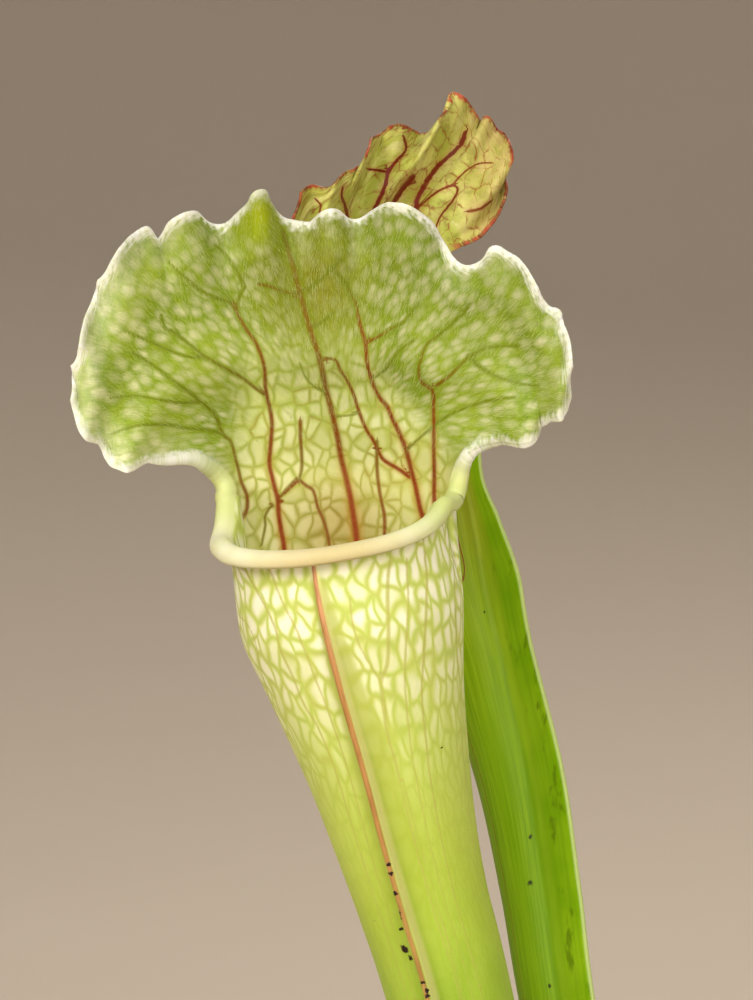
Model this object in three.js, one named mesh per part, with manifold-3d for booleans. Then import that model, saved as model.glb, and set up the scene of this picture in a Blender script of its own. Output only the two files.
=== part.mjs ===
// Potted pitcher plant: two tall hooded pitchers, one young pitcher, flat leaves and a rhizome in a round nursery pot.
// Millimetres, Z up, origin at the middle of the pot's underside, the leaves' mouths face -Y.
import * as THREE from "three";
import { mergeVertices } from "three/addons/utils/BufferGeometryUtils.js";
import Module from "manifold-3d";

// ---------------------------------------------------------------- driving dimensions
const POT = {
  height: 95,
  topRadius: 55, // outside of the rim band
  wallTopRadius: 52.4, // outside of the wall under the band
  baseRadius: 40,
  wall: 1.6,
  bandHeight: 13,
  footHeight: 3,
  holes: 8,
  holeRadius: 4.2,
  holeCentreRadius: 31,
};
const GAP = 0.3; // clearance between neighbouring pieces
const SOIL = { top: 85.5, mound: 2.2, radius: 50.2 };
const RHIZOME = { centre: [-2, 0.5, 84.6], half: [21, 10, 7], turn: 8 };
const SOCKET_FLOOR = 88; // every leaf base stands in a shallow socket of the rhizome
const BASE_Z = SOCKET_FLOOR + GAP;

// A leaf station: [x, y, z, tube radius, keel height, facing in degrees (0 faces -Y, positive turns to +X)]
const FRONT = {
  wall: 0.9,
  hoodWall: 0.8,
  rimWall: 0.6,
  lipRadius: 0.92,
  lipTurn: 205,
  cavity: 4,
  rows: 15,
  bridge: 3,
  backCells: 26,
  hoodRows: 10,
  waist: 1,
  calm: 15, // how far the hood margin's waves are evened out before they run down the hood
  keelShift: 0.022,
  stations: [
    [-2.4, -3.4, BASE_Z, 2.5, 0.2, -11.7],
    [-2.7, -3.5, 92, 2.6, 0.5, -11.7],
    [-4.6, -4.1, 101, 3.3, 1.6, -11.7],
    [-9.3, -5.2, 120, 4.6, 3.2, -11.7],
    [-16.0, -6.5, 149, 6.1, 3.7, -11.7],
    [-23.1, -7.5, 178, 7.1, 3.3, -11.7],
    [-26.05, -8.0, 188.5, 7.5, 3.0, -11.7],
    [-28.3, -8.4, 197, 8.3, 2.7, -11.7],
    [-30.35, -8.8, 205.6, 9.5, 2.3, -11.7],
    [-32.45, -9.2, 214.1, 11.1, 1.8, -11.7],
    [-34.1, -9.6, 221.3, 12.75, 1.3, -11.7],
  ],
  // the mouth: front arc left to right, neck line round the back left to right, then the hood's margin
  front: [[-48.78, -4.25, 236.86], [-48.88, -6.55, 233.92], [-49.13, -8.95, 232.34], [-49.08, -11.37, 231.87], [-48.85, -13.75, 231.85], [-48.31, -16.02, 231.57], [-47.38, -18.1, 231.23], [-46, -19.94, 231.1], [-44.25, -21.49, 231.05], [-42.21, -22.7, 231.16], [-39.94, -23.52, 231.36], [-37.56, -23.95, 231.69], [-35.19, -23.93, 232.11], [-32.9, -23.48, 232.55], [-30.72, -22.62, 233.06], [-28.75, -21.37, 233.67], [-27.01, -19.78, 234.45], [-25.6, -17.89, 235.47], [-24.56, -15.76, 236.8], [-23.78, -13.46, 236.94], [-23.16, -11.06, 237.39]],
  back: [[-48.78, -4.25, 236.86], [-48.1, -2.44, 236.85], [-46.93, -0.84, 236.88], [-45.51, 0.56, 236.9], [-43.94, 1.74, 236.93], [-42.24, 2.69, 236.95], [-40.41, 3.39, 236.98], [-38.51, 3.83, 237], [-36.56, 4, 237.03], [-34.61, 3.9, 237.05], [-32.7, 3.52, 237.08], [-30.85, 2.89, 237.1], [-29.11, 2, 237.12], [-27.51, 0.88, 237.15], [-26.08, -0.45, 237.17], [-24.85, -1.97, 237.2], [-23.86, -3.64, 237.22], [-23.11, -5.43, 237.25], [-22.68, -7.31, 237.27], [-22.63, -9.21, 237.3], [-23.16, -11.06, 237.39]],
  left: [[-48.78, -4.25, 236.86], [-48.77, -4.05, 237.68], [-49.05, -3.81, 238.5], [-49.49, -3.6, 239.28], [-50.1, -3.8, 239.99], [-50.81, -4.31, 240.68], [-51.61, -5.06, 241.26], [-52.44, -5.78, 241.74], [-53.29, -6.42, 242.08], [-54.15, -7.08, 242.17], [-55.02, -7.67, 242.1], [-55.87, -8.23, 241.97], [-56.7, -8.78, 241.87], [-57.53, -9.44, 241.82], [-58.34, -10.21, 241.82], [-59.14, -11.21, 241.72], [-59.81, -12.48, 241.37], [-60.42, -13.65, 241.01], [-61.1, -14.41, 240.79], [-61.84, -14.33, 241.09], [-62.59, -14.27, 241.4], [-63.11, -13.9, 242.01], [-63.53, -13.69, 242.69], [-63.86, -13.72, 243.42], [-64.26, -14.18, 244.11], [-64.86, -15.38, 244.38], [-65.47, -16.47, 244.61], [-65.92, -16.61, 245.26], [-66.24, -16.27, 245.99], [-66.48, -15.83, 246.74], [-66.72, -15.52, 247.49], [-67.02, -15.45, 248.24], [-67.2, -15.56, 249.02]],
  top: [[-67.2, -15.56, 249.02], [-67.07, -15.19, 249.75], [-67.01, -14.91, 250.5], [-67.01, -14.83, 251.26], [-67.07, -15.09, 252.03], [-67.06, -15.52, 252.81], [-66.59, -15.49, 253.32], [-66.27, -15.65, 253.96], [-66.17, -15.96, 254.73], [-66.1, -16.14, 255.49], [-66.02, -16.09, 256.25], [-65.9, -15.74, 256.99], [-65.76, -15.19, 257.72], [-65.63, -14.49, 258.44], [-65.38, -13.69, 259.12], [-65.08, -12.99, 259.79], [-64.77, -12.5, 260.47], [-64.51, -12.35, 261.18], [-64.33, -12.59, 261.93], [-64.14, -13.03, 262.69], [-63.55, -13.08, 263.18], [-63.08, -13.35, 263.8], [-62.7, -13.64, 264.47], [-62.4, -13.86, 265.18], [-62.04, -13.79, 265.85], [-61.66, -13.48, 266.51], [-61.19, -12.88, 267.08], [-60.72, -12.21, 267.65], [-60.16, -11.43, 268.11], [-59.57, -10.77, 268.55], [-58.91, -10.24, 268.89], [-58.35, -9.53, 268.69], [-57.98, -8.75, 268.05], [-57.55, -8.19, 267.45], [-57.05, -8.75, 267.91], [-56.59, -9.57, 268.56], [-56.17, -10.34, 269.24], [-55.6, -10.79, 269.78], [-54.96, -10.87, 270.19], [-54.28, -10.64, 270.54], [-53.56, -10.03, 270.7], [-52.88, -9.08, 270.65], [-52.37, -7.7, 270.17], [-51.88, -6.37, 269.64], [-51.25, -5.34, 269.27], [-50.5, -4.8, 269.18], [-49.74, -4.72, 269.31], [-49.08, -5.13, 269.7], [-48.5, -5.86, 270.24], [-47.88, -6.61, 270.75], [-47.27, -7.31, 271.25], [-46.71, -7.93, 271.78], [-46.38, -8.58, 272.48], [-45.92, -8.89, 273.09], [-45.2, -8.58, 273.29], [-44.67, -7.67, 273.01], [-44.45, -6.42, 272.3], [-44.09, -5.43, 271.63], [-43.7, -4.69, 270.98], [-43.22, -4.23, 270.39], [-42.61, -4.06, 269.93], [-41.86, -4, 269.73], [-41.09, -4.1, 269.58], [-40.31, -4.39, 269.47], [-39.54, -4.82, 269.43], [-38.94, -5.8, 269.94], [-38.33, -6.63, 270.43], [-37.65, -7.09, 270.83], [-36.94, -6.99, 271.01], [-36.21, -6.37, 270.85], [-35.58, -5.38, 270.4], [-34.99, -4.38, 269.92], [-34.27, -3.84, 269.76], [-33.53, -3.86, 269.93], [-32.86, -4.36, 270.33], [-32.21, -5.16, 270.75], [-31.54, -6.13, 271.14], [-30.86, -7.22, 271.52], [-30.15, -8.19, 271.74], [-29.38, -8.81, 271.69], [-28.61, -9.3, 271.64], [-27.9, -9.37, 271.38], [-27.22, -9.16, 271.01], [-26.59, -8.74, 270.57], [-25.96, -8.25, 270.11], [-25.33, -7.81, 269.65], [-24.84, -7.35, 269.06], [-24.45, -6.97, 268.39], [-24.1, -6.81, 267.7], [-23.74, -6.89, 267.01], [-23.36, -7.19, 266.34], [-22.98, -7.58, 265.67], [-22.49, -8.07, 265.09], [-21.92, -8.53, 264.59], [-21.22, -8.99, 264.29], [-20.46, -9.48, 264.3], [-19.77, -9.91, 264.55], [-19.12, -10.26, 264.95], [-18.67, -10.65, 265.56], [-18.34, -11.09, 266.25], [-17.78, -11.34, 266.61], [-17.07, -11.39, 266.51], [-16.45, -11.34, 266.05], [-15.8, -11.7, 265.67], [-15.15, -12.36, 265.3], [-14.65, -13, 264.76], [-14.17, -13.71, 264.19], [-13.81, -14.24, 263.53], [-13.44, -14.66, 262.87], [-13.12, -14.82, 262.19], [-12.83, -14.72, 261.48], [-12.52, -14.45, 260.77], [-12.06, -14.22, 260.15], [-11.54, -14.07, 259.59], [-10.81, -14.4, 259.45], [-10.26, -14.6, 259.02], [-10.14, -14.56, 258.27], [-9.97, -14.8, 257.55], [-9.63, -15.45, 256.9], [-9.4, -16.12, 256.2], [-9.23, -16.79, 255.49], [-9.17, -17.3, 254.75], [-9.1, -17.69, 254.01], [-9.11, -17.84, 253.26], [-9.18, -17.79, 252.5], [-9.24, -17.63, 251.73], [-9.26, -17.42, 250.97], [-9.19, -17.22, 250.2], [-9.13, -17.06, 249.44]],
  right: [[-23.16, -11.06, 237.39], [-22.96, -10.91, 237.94], [-22.75, -10.74, 238.57], [-22.57, -10.62, 239.2], [-22.38, -10.63, 239.84], [-22.19, -10.73, 240.49], [-21.93, -10.92, 241.11], [-21.56, -11.17, 241.69], [-21.13, -11.36, 242.21], [-20.57, -11.55, 242.64], [-20.02, -11.54, 243.05], [-19.4, -11.58, 243.35], [-18.75, -11.67, 243.61], [-18.09, -11.9, 243.81], [-17.41, -12.38, 243.93], [-16.74, -12.97, 244.05], [-16.08, -13.83, 243.99], [-15.48, -14.69, 243.89], [-14.87, -15.35, 243.84], [-14.24, -15.75, 243.86], [-13.65, -15.75, 244.08], [-13.16, -15.43, 244.47], [-12.8, -14.98, 245], [-12.55, -14.61, 245.58], [-12.35, -14.46, 246.18], [-11.82, -15.11, 246.54], [-11.31, -15.94, 246.92], [-10.72, -17.07, 246.98], [-10.16, -17.79, 247.11], [-9.85, -17.6, 247.66], [-9.53, -17.45, 248.22], [-9.32, -17.22, 248.82], [-9.13, -17.06, 249.44]],
};
const REAR = {
  wall: 0.8,
  hoodWall: 0.7,
  rimWall: 0.5,
  lipRadius: 0.65,
  lipTurn: 190,
  cavity: 7,
  rows: 15,
  bridge: 2,
  backCells: 20,
  hoodRows: 8,
  waist: 1,
  stations: [
    [4.2, 4.4, BASE_Z, 2.3, 0.2, 50],
    [4.0, 4.8, 92, 2.4, 0.5, 50],
    [2.4, 6.4, 101, 2.5, 1.6, 50],
    [-1.0, 8.9, 120, 2.5, 3.4, 50],
    [-6.3, 12.4, 150, 2.6, 4.2, 50],
    [-10.6, 15.0, 172.9, 2.8, 4.5, 50],
    [-12.5, 17.5, 185.2, 3.0, 4.8, 50],
    [-15.0, 20.0, 199.0, 3.5, 4.95, 50],
    [-18.9, 23.0, 214.0, 4.4, 4.2, 50],
    [-21.2, 24.6, 222.0, 5.05, 4.75, 49],
    [-23.1, 26.1, 229.6, 5.75, 3.1, 48],
    [-24.3, 27.1, 234.6, 6.2, 1.95, 47],
    [-25.7, 28.2, 240.4, 6.8, 2.3, 46],
    [-27.6, 30.0, 249.6, 7.6, 1.6, 44],
  ],
  front: [[-36.5, 27.8, 261.65], [-35.66, 26.6, 261.18], [-34.62, 25.57, 260.7], [-33.42, 24.73, 260.24], [-32.09, 24.11, 259.81], [-30.68, 23.73, 259.42], [-29.22, 23.6, 259.08], [-27.76, 23.73, 258.81], [-26.35, 24.11, 258.61], [-25.02, 24.73, 258.48], [-23.82, 25.57, 258.44], [-22.79, 26.6, 258.48], [-21.95, 27.8, 258.61], [-21.33, 29.13, 258.81], [-20.95, 30.54, 259.08], [-20.82, 32, 259.42], [-20.95, 33.46, 259.81], [-21.33, 34.87, 260.24], [-21.95, 36.2, 260.7], [-22.79, 37.4, 261.18], [-23.82, 38.43, 261.65]],
  back: [[-36.5, 27.8, 261.65], [-37.01, 28.85, 261.71], [-37.37, 29.97, 261.77], [-37.58, 31.12, 261.83], [-37.62, 32.29, 261.89], [-37.49, 33.46, 261.93], [-37.21, 34.6, 261.97], [-36.77, 35.68, 262.01], [-36.18, 36.7, 262.03], [-35.46, 37.62, 262.05], [-34.62, 38.43, 262.05], [-33.67, 39.12, 262.05], [-32.64, 39.67, 262.03], [-31.54, 40.07, 262.01], [-30.39, 40.32, 261.97], [-29.22, 40.4, 261.93], [-28.05, 40.32, 261.89], [-26.91, 40.07, 261.83], [-25.8, 39.67, 261.77], [-24.77, 39.12, 261.71], [-23.82, 38.43, 261.65]],
  left: [[-36.5, 27.8, 261.65], [-36.7, 27.48, 261.93], [-36.9, 27.17, 262.2], [-37.11, 26.85, 262.47], [-37.31, 26.54, 262.74], [-37.54, 26.24, 262.99], [-37.78, 25.94, 263.22], [-38.04, 25.64, 263.42], [-38.32, 25.36, 263.62], [-38.6, 25.08, 263.81], [-38.87, 24.81, 264], [-39.15, 24.55, 264.19], [-39.41, 24.3, 264.39], [-39.67, 24.06, 264.61], [-39.92, 23.83, 264.83], [-40.16, 23.62, 265.06], [-40.4, 23.41, 265.3], [-40.65, 23.22, 265.53], [-40.89, 23.04, 265.76], [-41.12, 22.87, 266], [-41.33, 22.71, 266.25], [-41.52, 22.56, 266.52], [-41.69, 22.42, 266.81], [-41.85, 22.29, 267.1], [-42.01, 22.17, 267.39], [-42.16, 22.06, 267.69], [-42.26, 21.95, 268], [-42.29, 21.86, 268.32], [-42.29, 21.76, 268.65], [-42.27, 21.67, 268.98], [-42.24, 21.59, 269.31], [-42.22, 21.51, 269.65], [-42.2, 21.42, 269.98]],
  top: [[-42.2, 21.42, 269.98], [-42.08, 21.58, 270.35], [-41.96, 21.51, 270.71], [-41.83, 21.53, 271.08], [-41.72, 21.79, 271.44], [-41.61, 22.11, 271.81], [-41.5, 22.22, 272.18], [-41.39, 21.95, 272.54], [-41.29, 21.46, 272.91], [-41.23, 21.13, 273.29], [-41.19, 21.37, 273.67], [-41, 22.36, 273.98], [-40.75, 23.73, 274.27], [-40.42, 25.04, 274.42], [-40.06, 25.93, 274.53], [-39.7, 26.42, 274.55], [-39.33, 26.8, 274.44], [-38.97, 27.28, 274.33], [-38.6, 27.84, 274.23], [-38.22, 28.21, 274.29], [-37.83, 28.08, 274.33], [-37.47, 27.49, 274.45], [-37.16, 26.78, 274.69], [-36.86, 26.47, 274.93], [-36.61, 26.77, 275.22], [-36.38, 27.62, 275.54], [-36.1, 28.67, 275.82], [-35.81, 29.55, 276.08], [-35.46, 30.19, 276.22], [-35.08, 30.77, 276.29], [-34.71, 31.47, 276.39], [-34.38, 32.32, 276.61], [-34.05, 33.09, 276.83], [-33.73, 33.41, 277.06], [-33.52, 33.03, 277.39], [-33.31, 32.21, 277.71], [-33.1, 31.39, 278.02], [-32.96, 30.95, 278.37], [-32.81, 31.07, 278.74], [-32.67, 31.55, 279.11], [-32.55, 32.01, 279.49], [-32.48, 32.3, 279.88], [-32.4, 32.55, 280.27], [-32.3, 33.03, 280.65], [-31.96, 34.06, 280.88], [-31.62, 35.29, 281.11], [-31.28, 36.3, 281.33], [-30.93, 36.73, 281.54], [-30.62, 36.47, 281.77], [-30.35, 35.81, 282.03], [-30.05, 35.26, 282.26], [-29.67, 35.13, 282.39], [-29.3, 35.34, 282.52], [-28.92, 35.63, 282.63], [-28.54, 35.81, 282.54], [-28.15, 35.91, 282.45], [-27.78, 36.21, 282.33], [-27.43, 36.97, 282.16], [-27.08, 38.23, 282], [-26.7, 39.66, 281.88], [-26.31, 40.79, 281.77], [-25.93, 41.3, 281.65], [-25.54, 41.27, 281.67], [-25.15, 41.02, 281.71], [-24.78, 40.88, 281.82], [-24.53, 40.74, 282.12], [-24.28, 40.7, 282.42], [-24.02, 40.52, 282.72], [-23.76, 40.12, 283], [-23.51, 39.74, 283.29], [-23.24, 39.73, 283.59], [-22.95, 40.31, 283.89], [-22.65, 41.31, 284.2], [-22.35, 42.32, 284.51], [-22.13, 42.88, 284.87], [-21.93, 42.93, 285.22], [-21.82, 42.64, 285.56], [-21.99, 42.23, 285.91], [-22.15, 42.14, 286.27], [-21.96, 42.44, 286.56], [-21.63, 42.66, 286.79], [-21.24, 42.51, 286.68], [-20.86, 42.04, 286.57], [-20.51, 41.61, 286.4], [-20.21, 41.58, 286.15], [-19.89, 42.09, 285.91], [-19.63, 42.86, 285.62], [-19.39, 43.53, 285.32], [-19.16, 43.87, 284.99], [-18.93, 43.94, 284.66], [-18.7, 44.03, 284.33], [-18.47, 44.36, 284.01], [-18.23, 44.9, 283.7], [-18, 45.33, 283.38], [-17.78, 45.32, 283.34], [-17.57, 44.81, 283.66], [-17.35, 44.06, 283.95], [-16.96, 43.64, 283.93], [-16.64, 43.66, 283.79], [-16.4, 44.05, 283.47], [-16.16, 44.59, 283.15], [-15.95, 44.95, 282.82], [-15.75, 45.08, 282.47], [-15.48, 45.24, 282.19], [-15.12, 45.74, 282], [-14.74, 46.58, 281.83], [-14.48, 47.41, 281.53], [-14.28, 47.88, 281.18], [-14.14, 47.75, 280.81], [-14.05, 47.05, 280.4], [-13.96, 46.12, 279.99], [-13.88, 45.45, 279.59], [-13.85, 45.14, 279.19], [-13.82, 45.08, 278.78], [-13.79, 44.99, 278.38], [-13.78, 44.69, 277.98], [-13.91, 44.25, 277.59], [-14.03, 44.07, 277.2], [-14.14, 44.38, 276.82], [-14.27, 45.02, 276.46], [-14.43, 45.62, 276.12], [-14.61, 45.76, 275.76], [-14.61, 45.45, 275.37], [-14.55, 44.78, 274.96], [-14.5, 44.08, 274.56], [-14.49, 43.59, 274.16], [-14.58, 43.25, 273.77], [-14.67, 42.89, 273.37], [-14.77, 42.3, 272.97]],
  right: [[-23.82, 38.43, 261.65], [-23.66, 38.46, 262.11], [-23.49, 38.48, 262.57], [-23.32, 38.51, 263.02], [-23.16, 38.54, 263.48], [-23.07, 38.57, 263.96], [-22.99, 38.6, 264.44], [-22.91, 38.65, 264.92], [-22.78, 38.69, 265.38], [-22.63, 38.75, 265.85], [-22.47, 38.81, 266.31], [-22.24, 38.88, 266.68], [-21.77, 38.96, 266.81], [-21.3, 39.05, 266.94], [-20.82, 39.15, 267.07], [-20.35, 39.25, 267.2], [-19.88, 39.37, 267.35], [-19.44, 39.49, 267.55], [-18.99, 39.63, 267.74], [-18.55, 39.77, 267.97], [-18.12, 39.93, 268.21], [-17.74, 40.09, 268.5], [-17.41, 40.26, 268.87], [-17.09, 40.44, 269.24], [-16.76, 40.63, 269.61], [-16.44, 40.82, 269.98], [-16.11, 41.02, 270.35], [-15.85, 41.23, 270.76], [-15.58, 41.44, 271.18], [-15.35, 41.65, 271.61], [-15.16, 41.86, 272.06], [-14.96, 42.08, 272.52], [-14.77, 42.3, 272.97]],
};
const YOUNG = {
  wall: 0.8,
  hoodWall: 0.7,
  rimWall: 0.5,
  lipRadius: 0.6,
  lipTurn: 190,
  cavity: 4,
  rows: 9,
  bridge: 2,
  backCells: 14,
  hoodRows: 5,
  waist: 1,
  stations: [
    [10.4, -2.6, BASE_Z, 2.2, 0.2, 55],
    [10.8, -2.9, 92, 2.3, 0.5, 55],
    [14.4, -5.0, 101, 2.8, 1.4, 55],
    [20.6, -8.6, 114, 3.8, 2.2, 55],
    [27.0, -12.4, 130, 5.3, 1.9, 55],
    [31.2, -14.8, 143, 6.9, 1.0, 55],
  ],
  mouth: { centre: [32.6, -15.7, 149.5], radius: 7.4, facing: 55, halfWidth: 13.5, height: 19, lobe: 8 },
};
// Blade leaves: [x, y, z, half width, half thickness], the wide side turned by "turn" degrees about Z
const BLADES = {
  phyllode_left: {
    turn: 70,
    stations: [
      [-8.6, 3.4, BASE_Z, 1.9, 1.3],
      [-9.2, 3.6, 93, 2.4, 1.1],
      [-14.5, 6.5, 104, 4.2, 0.8],
      [-22.5, 11.0, 122, 5.6, 0.6],
      [-29.5, 15.0, 142, 4.9, 0.5],
      [-33.0, 17.2, 158, 2.8, 0.42],
      [-34.0, 18.0, 166, 0.9, 0.35],
    ],
  },
  phyllode_right: {
    turn: -20,
    stations: [
      [13.6, 3.6, BASE_Z, 1.7, 1.2],
      [14.2, 4.0, 93, 2.2, 1.0],
      [19.0, 8.0, 103, 3.7, 0.75],
      [27.0, 14.5, 118, 4.9, 0.6],
      [34.5, 20.5, 132, 4.0, 0.5],
      [39.0, 24.0, 142, 2.0, 0.42],
      [40.6, 25.2, 147, 0.8, 0.35],
    ],
  },
  old_leaf_base_left: {
    turn: 20,
    stations: [
      [-14.6, -2.4, BASE_Z - 1.2, 2.2, 1.7],
      [-14.9, -2.5, 91.4, 2.3, 1.6],
      [-16.6, -3.4, 96, 2.5, 1.3],
      [-19.4, -5.0, 101.5, 2.7, 0.8],
      [-21.0, -6.0, 104, 1.5, 0.5],
    ],
  },
  old_leaf_base_back: {
    turn: -35,
    stations: [
      [-15.0, 3.6, BASE_Z - 1.2, 1.9, 1.5],
      [-15.2, 3.8, 91.4, 2.0, 1.4],
      [-16.2, 5.6, 95, 2.2, 1.1],
      [-17.6, 8.2, 99, 2.1, 0.7],
      [-18.4, 9.6, 101, 1.1, 0.45],
    ],
  },
  bract_front: {
    turn: 5,
    stations: [
      [3.6, -4.4, BASE_Z, 1.9, 0.75],
      [3.9, -5.2, 92, 2.2, 0.65],
      [4.6, -7.2, 97, 1.7, 0.5],
      [5.2, -8.6, 101.5, 0.5, 0.35],
    ],
  },
};

// ---------------------------------------------------------------- small vector helpers
const add = (a, b, k = 1) => [a[0] + b[0] * k, a[1] + b[1] * k, a[2] + b[2] * k];
const sub = (a, b) => [a[0] - b[0], a[1] - b[1], a[2] - b[2]];
const mul = (a, k) => [a[0] * k, a[1] * k, a[2] * k];
const dot = (a, b) => a[0] * b[0] + a[1] * b[1] + a[2] * b[2];
const cross = (a, b) => [a[1] * b[2] - a[2] * b[1], a[2] * b[0] - a[0] * b[2], a[0] * b[1] - a[1] * b[0]];
const len = (a) => Math.hypot(...a);
const unit = (a) => mul(a, 1 / (len(a) || 1));
const mix = (a, b, t) => a.map((v, i) => v + (b[i] - v) * t);
const rad = (deg) => (deg * Math.PI) / 180;

// A point of a polyline at share u of its index range
function along(line, u) {
  const x = Math.min(Math.max(u, 0), 1) * (line.length - 1);
  const i = Math.min(Math.floor(x), line.length - 2);
  return mix(line[i], line[i + 1], x - i);
}
// Catmull-Rom through stations of any width
function spline(stations, u) {
  const n = stations.length - 1;
  const x = Math.min(Math.max(u, 0), 1) * n;
  const i = Math.min(Math.floor(x), n - 1);
  const t = x - i;
  const p = (k) => stations[Math.min(Math.max(k, 0), n)];
  const [a, b, c, d] = [p(i - 1), p(i), p(i + 1), p(i + 2)];
  return b.map(
    (_, k) =>
      0.5 *
      (2 * b[k] + (c[k] - a[k]) * t + (2 * a[k] - 5 * b[k] + 4 * c[k] - d[k]) * t * t + (3 * b[k] - a[k] - 3 * c[k] + d[k]) * t ** 3),
  );
}
// Gaussian smoothing that keeps both ends in place
function smooth(line, sigma) {
  const n = line.length;
  return line.map((p, i) => {
    const s = Math.min(sigma, Math.min(i, n - 1 - i) / 2.2);
    if (s < 0.3) return p;
    let sum = 0;
    let out = [0, 0, 0];
    line.forEach((q, k) => {
      const w = Math.exp(-0.5 * ((k - i) / s) ** 2);
      sum += w;
      out = add(out, q, w);
    });
    return mul(out, 1 / sum);
  });
}

// ---------------------------------------------------------------- hood and mouth curves from a few numbers
function simpleMouth({ centre, radius, facing, halfWidth, height, lobe }) {
  const f = [Math.sin(rad(facing)), -Math.cos(rad(facing)), 0];
  const s = [Math.cos(rad(facing)), Math.sin(rad(facing)), 0];
  const up = [0, 0, 1];
  const at = (w, back, h) => add(add(add(centre, s, w), f, -back), up, h);
  const ring = (deg, h) => at(radius * Math.sin(rad(deg)), -radius * Math.cos(rad(deg)), h);
  const lipH = (deg) => 2.4 * (1 - Math.cos(rad(deg)));
  const front = [...Array(21).keys()].map((k) => ring(-100 + 10 * k, lipH(-100 + 10 * k)));
  const back = [...Array(21).keys()].map((k) => ring(-100 - 8 * k, lipH(100)));
  const top = [...Array(65).keys()].map((k) => {
    const u = k / 64;
    const wave = Math.sin(u * Math.PI * 14 + 0.5) * Math.sin(Math.PI * u) ** 0.4;
    return at(
      -(halfWidth + 0.4 * wave) * Math.cos(Math.PI * u),
      radius * (-0.35 + 0.85 * Math.sin(Math.PI * u)) + 0.9 * wave,
      lobe + (height - lobe + 0.5 * wave) * Math.sin(Math.PI * u) ** 0.75,
    );
  });
  const side = (from, to, sign) =>
    [...Array(17).keys()].map((k) => {
      const v = k / 16;
      const p = mix(from, to, v);
      return add(add(p, s, sign * -1.2 * Math.sin(Math.PI * v)), up, 0.8 * Math.sin(Math.PI * v));
    });
  return { front, back, top, left: side(front[0], top[0], -1), right: side(front[20], top[64], 1) };
}

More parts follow.
